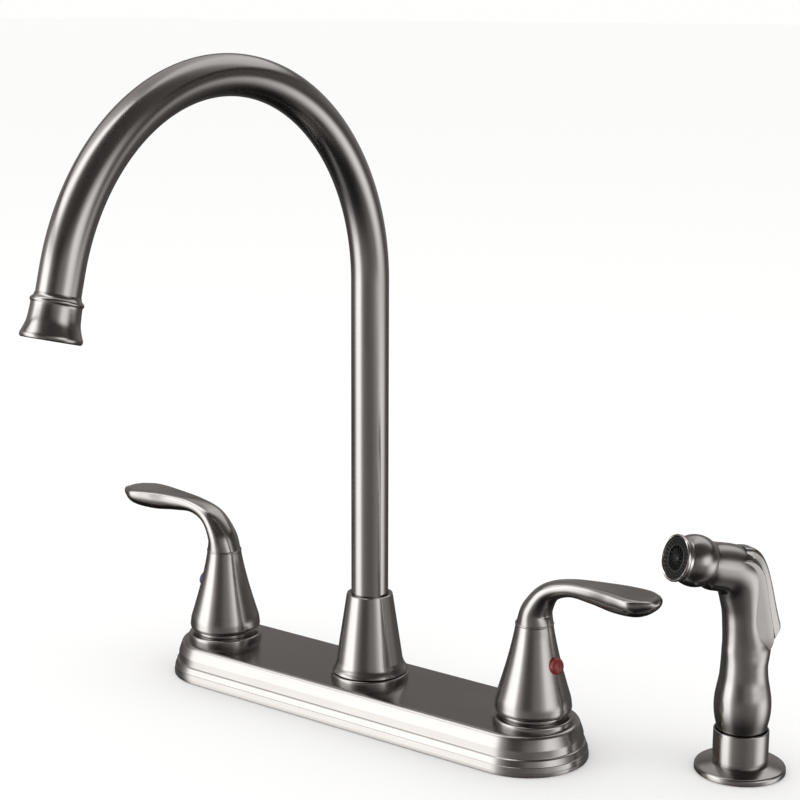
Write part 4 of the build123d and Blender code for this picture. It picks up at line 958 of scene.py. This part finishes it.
# name, copied piece, count, radius of the circle (next to nothing for the vanes) and height
patterns = [grown(name, ring_of_copies, {"Count": count, "Radius": radius * mm, "Piece": piece,
                                         "Finish": black_plastic}, in_metres(head) @ at(0, 0, low * mm))
            for name, piece, count, radius, low in (
                ("jets", jet, 28, 8.75, jet_low), ("inner_jets", jet, 24, 7.45, jet_low),
                ("vanes", vane, 14, 0.0001, vane_low))]
for helper in (jet, vane):
    bpy.data.objects.remove(helper)
knob_outline = [(0, vane_low), (1.5, vane_low), (1.5, 10.1), (1.1, vane_top), (0, 10.4)]
knob = lathe("knob", knob_outline, 32, head)
plate = lathe("face_plate", face_outline, 96, head)
swirl = shaded(joined("swirl_face", [plate, knob, *patterns]))
dress(to_piece("swirl_face", swirl), "spray", "spray_black", black_plastic, "spray_face")

# ------------------------
# Trigger: long thumb lever, moulded and plated, that follows the back of the grip down to a
# pointed tip and turns on a steel pin in the head.

trigger_crown, trigger_taper, trigger_sections = 2.6, 0.12, 72
crown_share = 0.6    # of the thickness that the crown takes up at most
shadow_step, shadow_foot, shadow_top = 0.6, 1.2, 2.4    # the sides stand back near the grip


def trigger_rings():
    """Sections of the trigger from its nose to its tip: flat inside, with a crowned outer face."""
    tip = [np.array(q) for q in ((17.35, 72.6), (17.5, 71.2), (17.2, 70.1), trigger_heel)]
    nose = np.array((trigger_outer[0][0], trigger_inner[-1][1]))
    outer = evenly(through(trigger_outer, 8) + tip, trigger_sections)
    inner = evenly([nose] + through(trigger_inner[::-1], 8), trigger_sections)
    half = trigger_width / 2
    rings = []
    for high, low in zip(outer, inner):
        thick = np.linalg.norm(high - low)
        crown = min(trigger_crown, thick * crown_share)
        outer_half = half - trigger_taper * (thick - crown)
        inner_half = half - shadow_step
        section = [(-inner_half, 0.0), (-inner_half, shadow_foot), (-half, shadow_top)]
        section += rear_corners(outer_half, thick, crown, 8)
        section += [(half, shadow_top), (inner_half, shadow_foot), (inner_half, 0.0)]
        up = (high - low) / thick
        rings.append([spray @ Vector((x, *(low + up * rise))) for x, rise in section])
    return rings


trigger = to_piece("thumb_trigger", shaded(skin("thumb_trigger", trigger_rings()), 20))
dress(trigger, "trigger", "satin_nickel", satin_nickel, "spray_trigger")

# ------------------------
# Everything else keeps its own solid and gets its finish: cast and turned brass, copper tube,
# rubber, ceramic, moulded plastics and plain steel.

brass = brushed_metal("turned_brass", (120, 120, 1500), (0.52, 0.36, 0.13), (0.66, 0.49, 0.22),
                      roughness=0.30, spread=0.12, depth=0.3)
for side, way in sides:
    threaded(side + "_inlet_thread", way * handle_x, 0, radius=10.4, pitch=1.8,
             runs=[(-55.4, -38.6), (-35.8, -1.0)], slot="brass", finish=brass)
threaded("hose_nipple_thread", 0, 0, radius=6.6, pitch=1.4, runs=[(-31.5, -18.6)], slot="brass",
         finish=brass)
copper = brushed_metal("drawn_copper", (60, 1500, 1500), (0.52, 0.22, 0.12), (0.68, 0.33, 0.20),
                       roughness=0.28, spread=0.12)
rubber = moulded("black_rubber", (0.016, 0.016, 0.017), (0.035, 0.034, 0.033), roughness=0.62,
                 speckle=700, depth=0.3)
ceramic = moulded("white_ceramic", (0.72, 0.70, 0.66), (0.80, 0.785, 0.75), roughness=0.18,
                  speckle=300, depth=0.03, coat=0.5)
white_plastic = moulded("white_acetal", (0.66, 0.65, 0.61), (0.76, 0.75, 0.72), roughness=0.42,
                        speckle=800, depth=0.15)
grey_plastic = moulded("grey_plastic", (0.10, 0.10, 0.105), (0.16, 0.16, 0.165), roughness=0.45,
                       speckle=800, depth=0.2)
finishes = {
    "brass": brass, "copper": copper, "steel": steel, "rubber": rubber, "ceramic": ceramic,
    "white_plastic": white_plastic, "grey_plastic": grey_plastic, "spray_black": black_plastic,
    "brushed_nickel": nickel_round, "satin_nickel": satin_nickel, "bright_nickel": bright_nickel,
    "red_button": button_red, "blue_button": button_blue}
for entry in frame["record"]["subparts"]:
    for slot in nodes[entry["node"]].material_slots:
        slot.material = finishes[entry["material_slot"]]
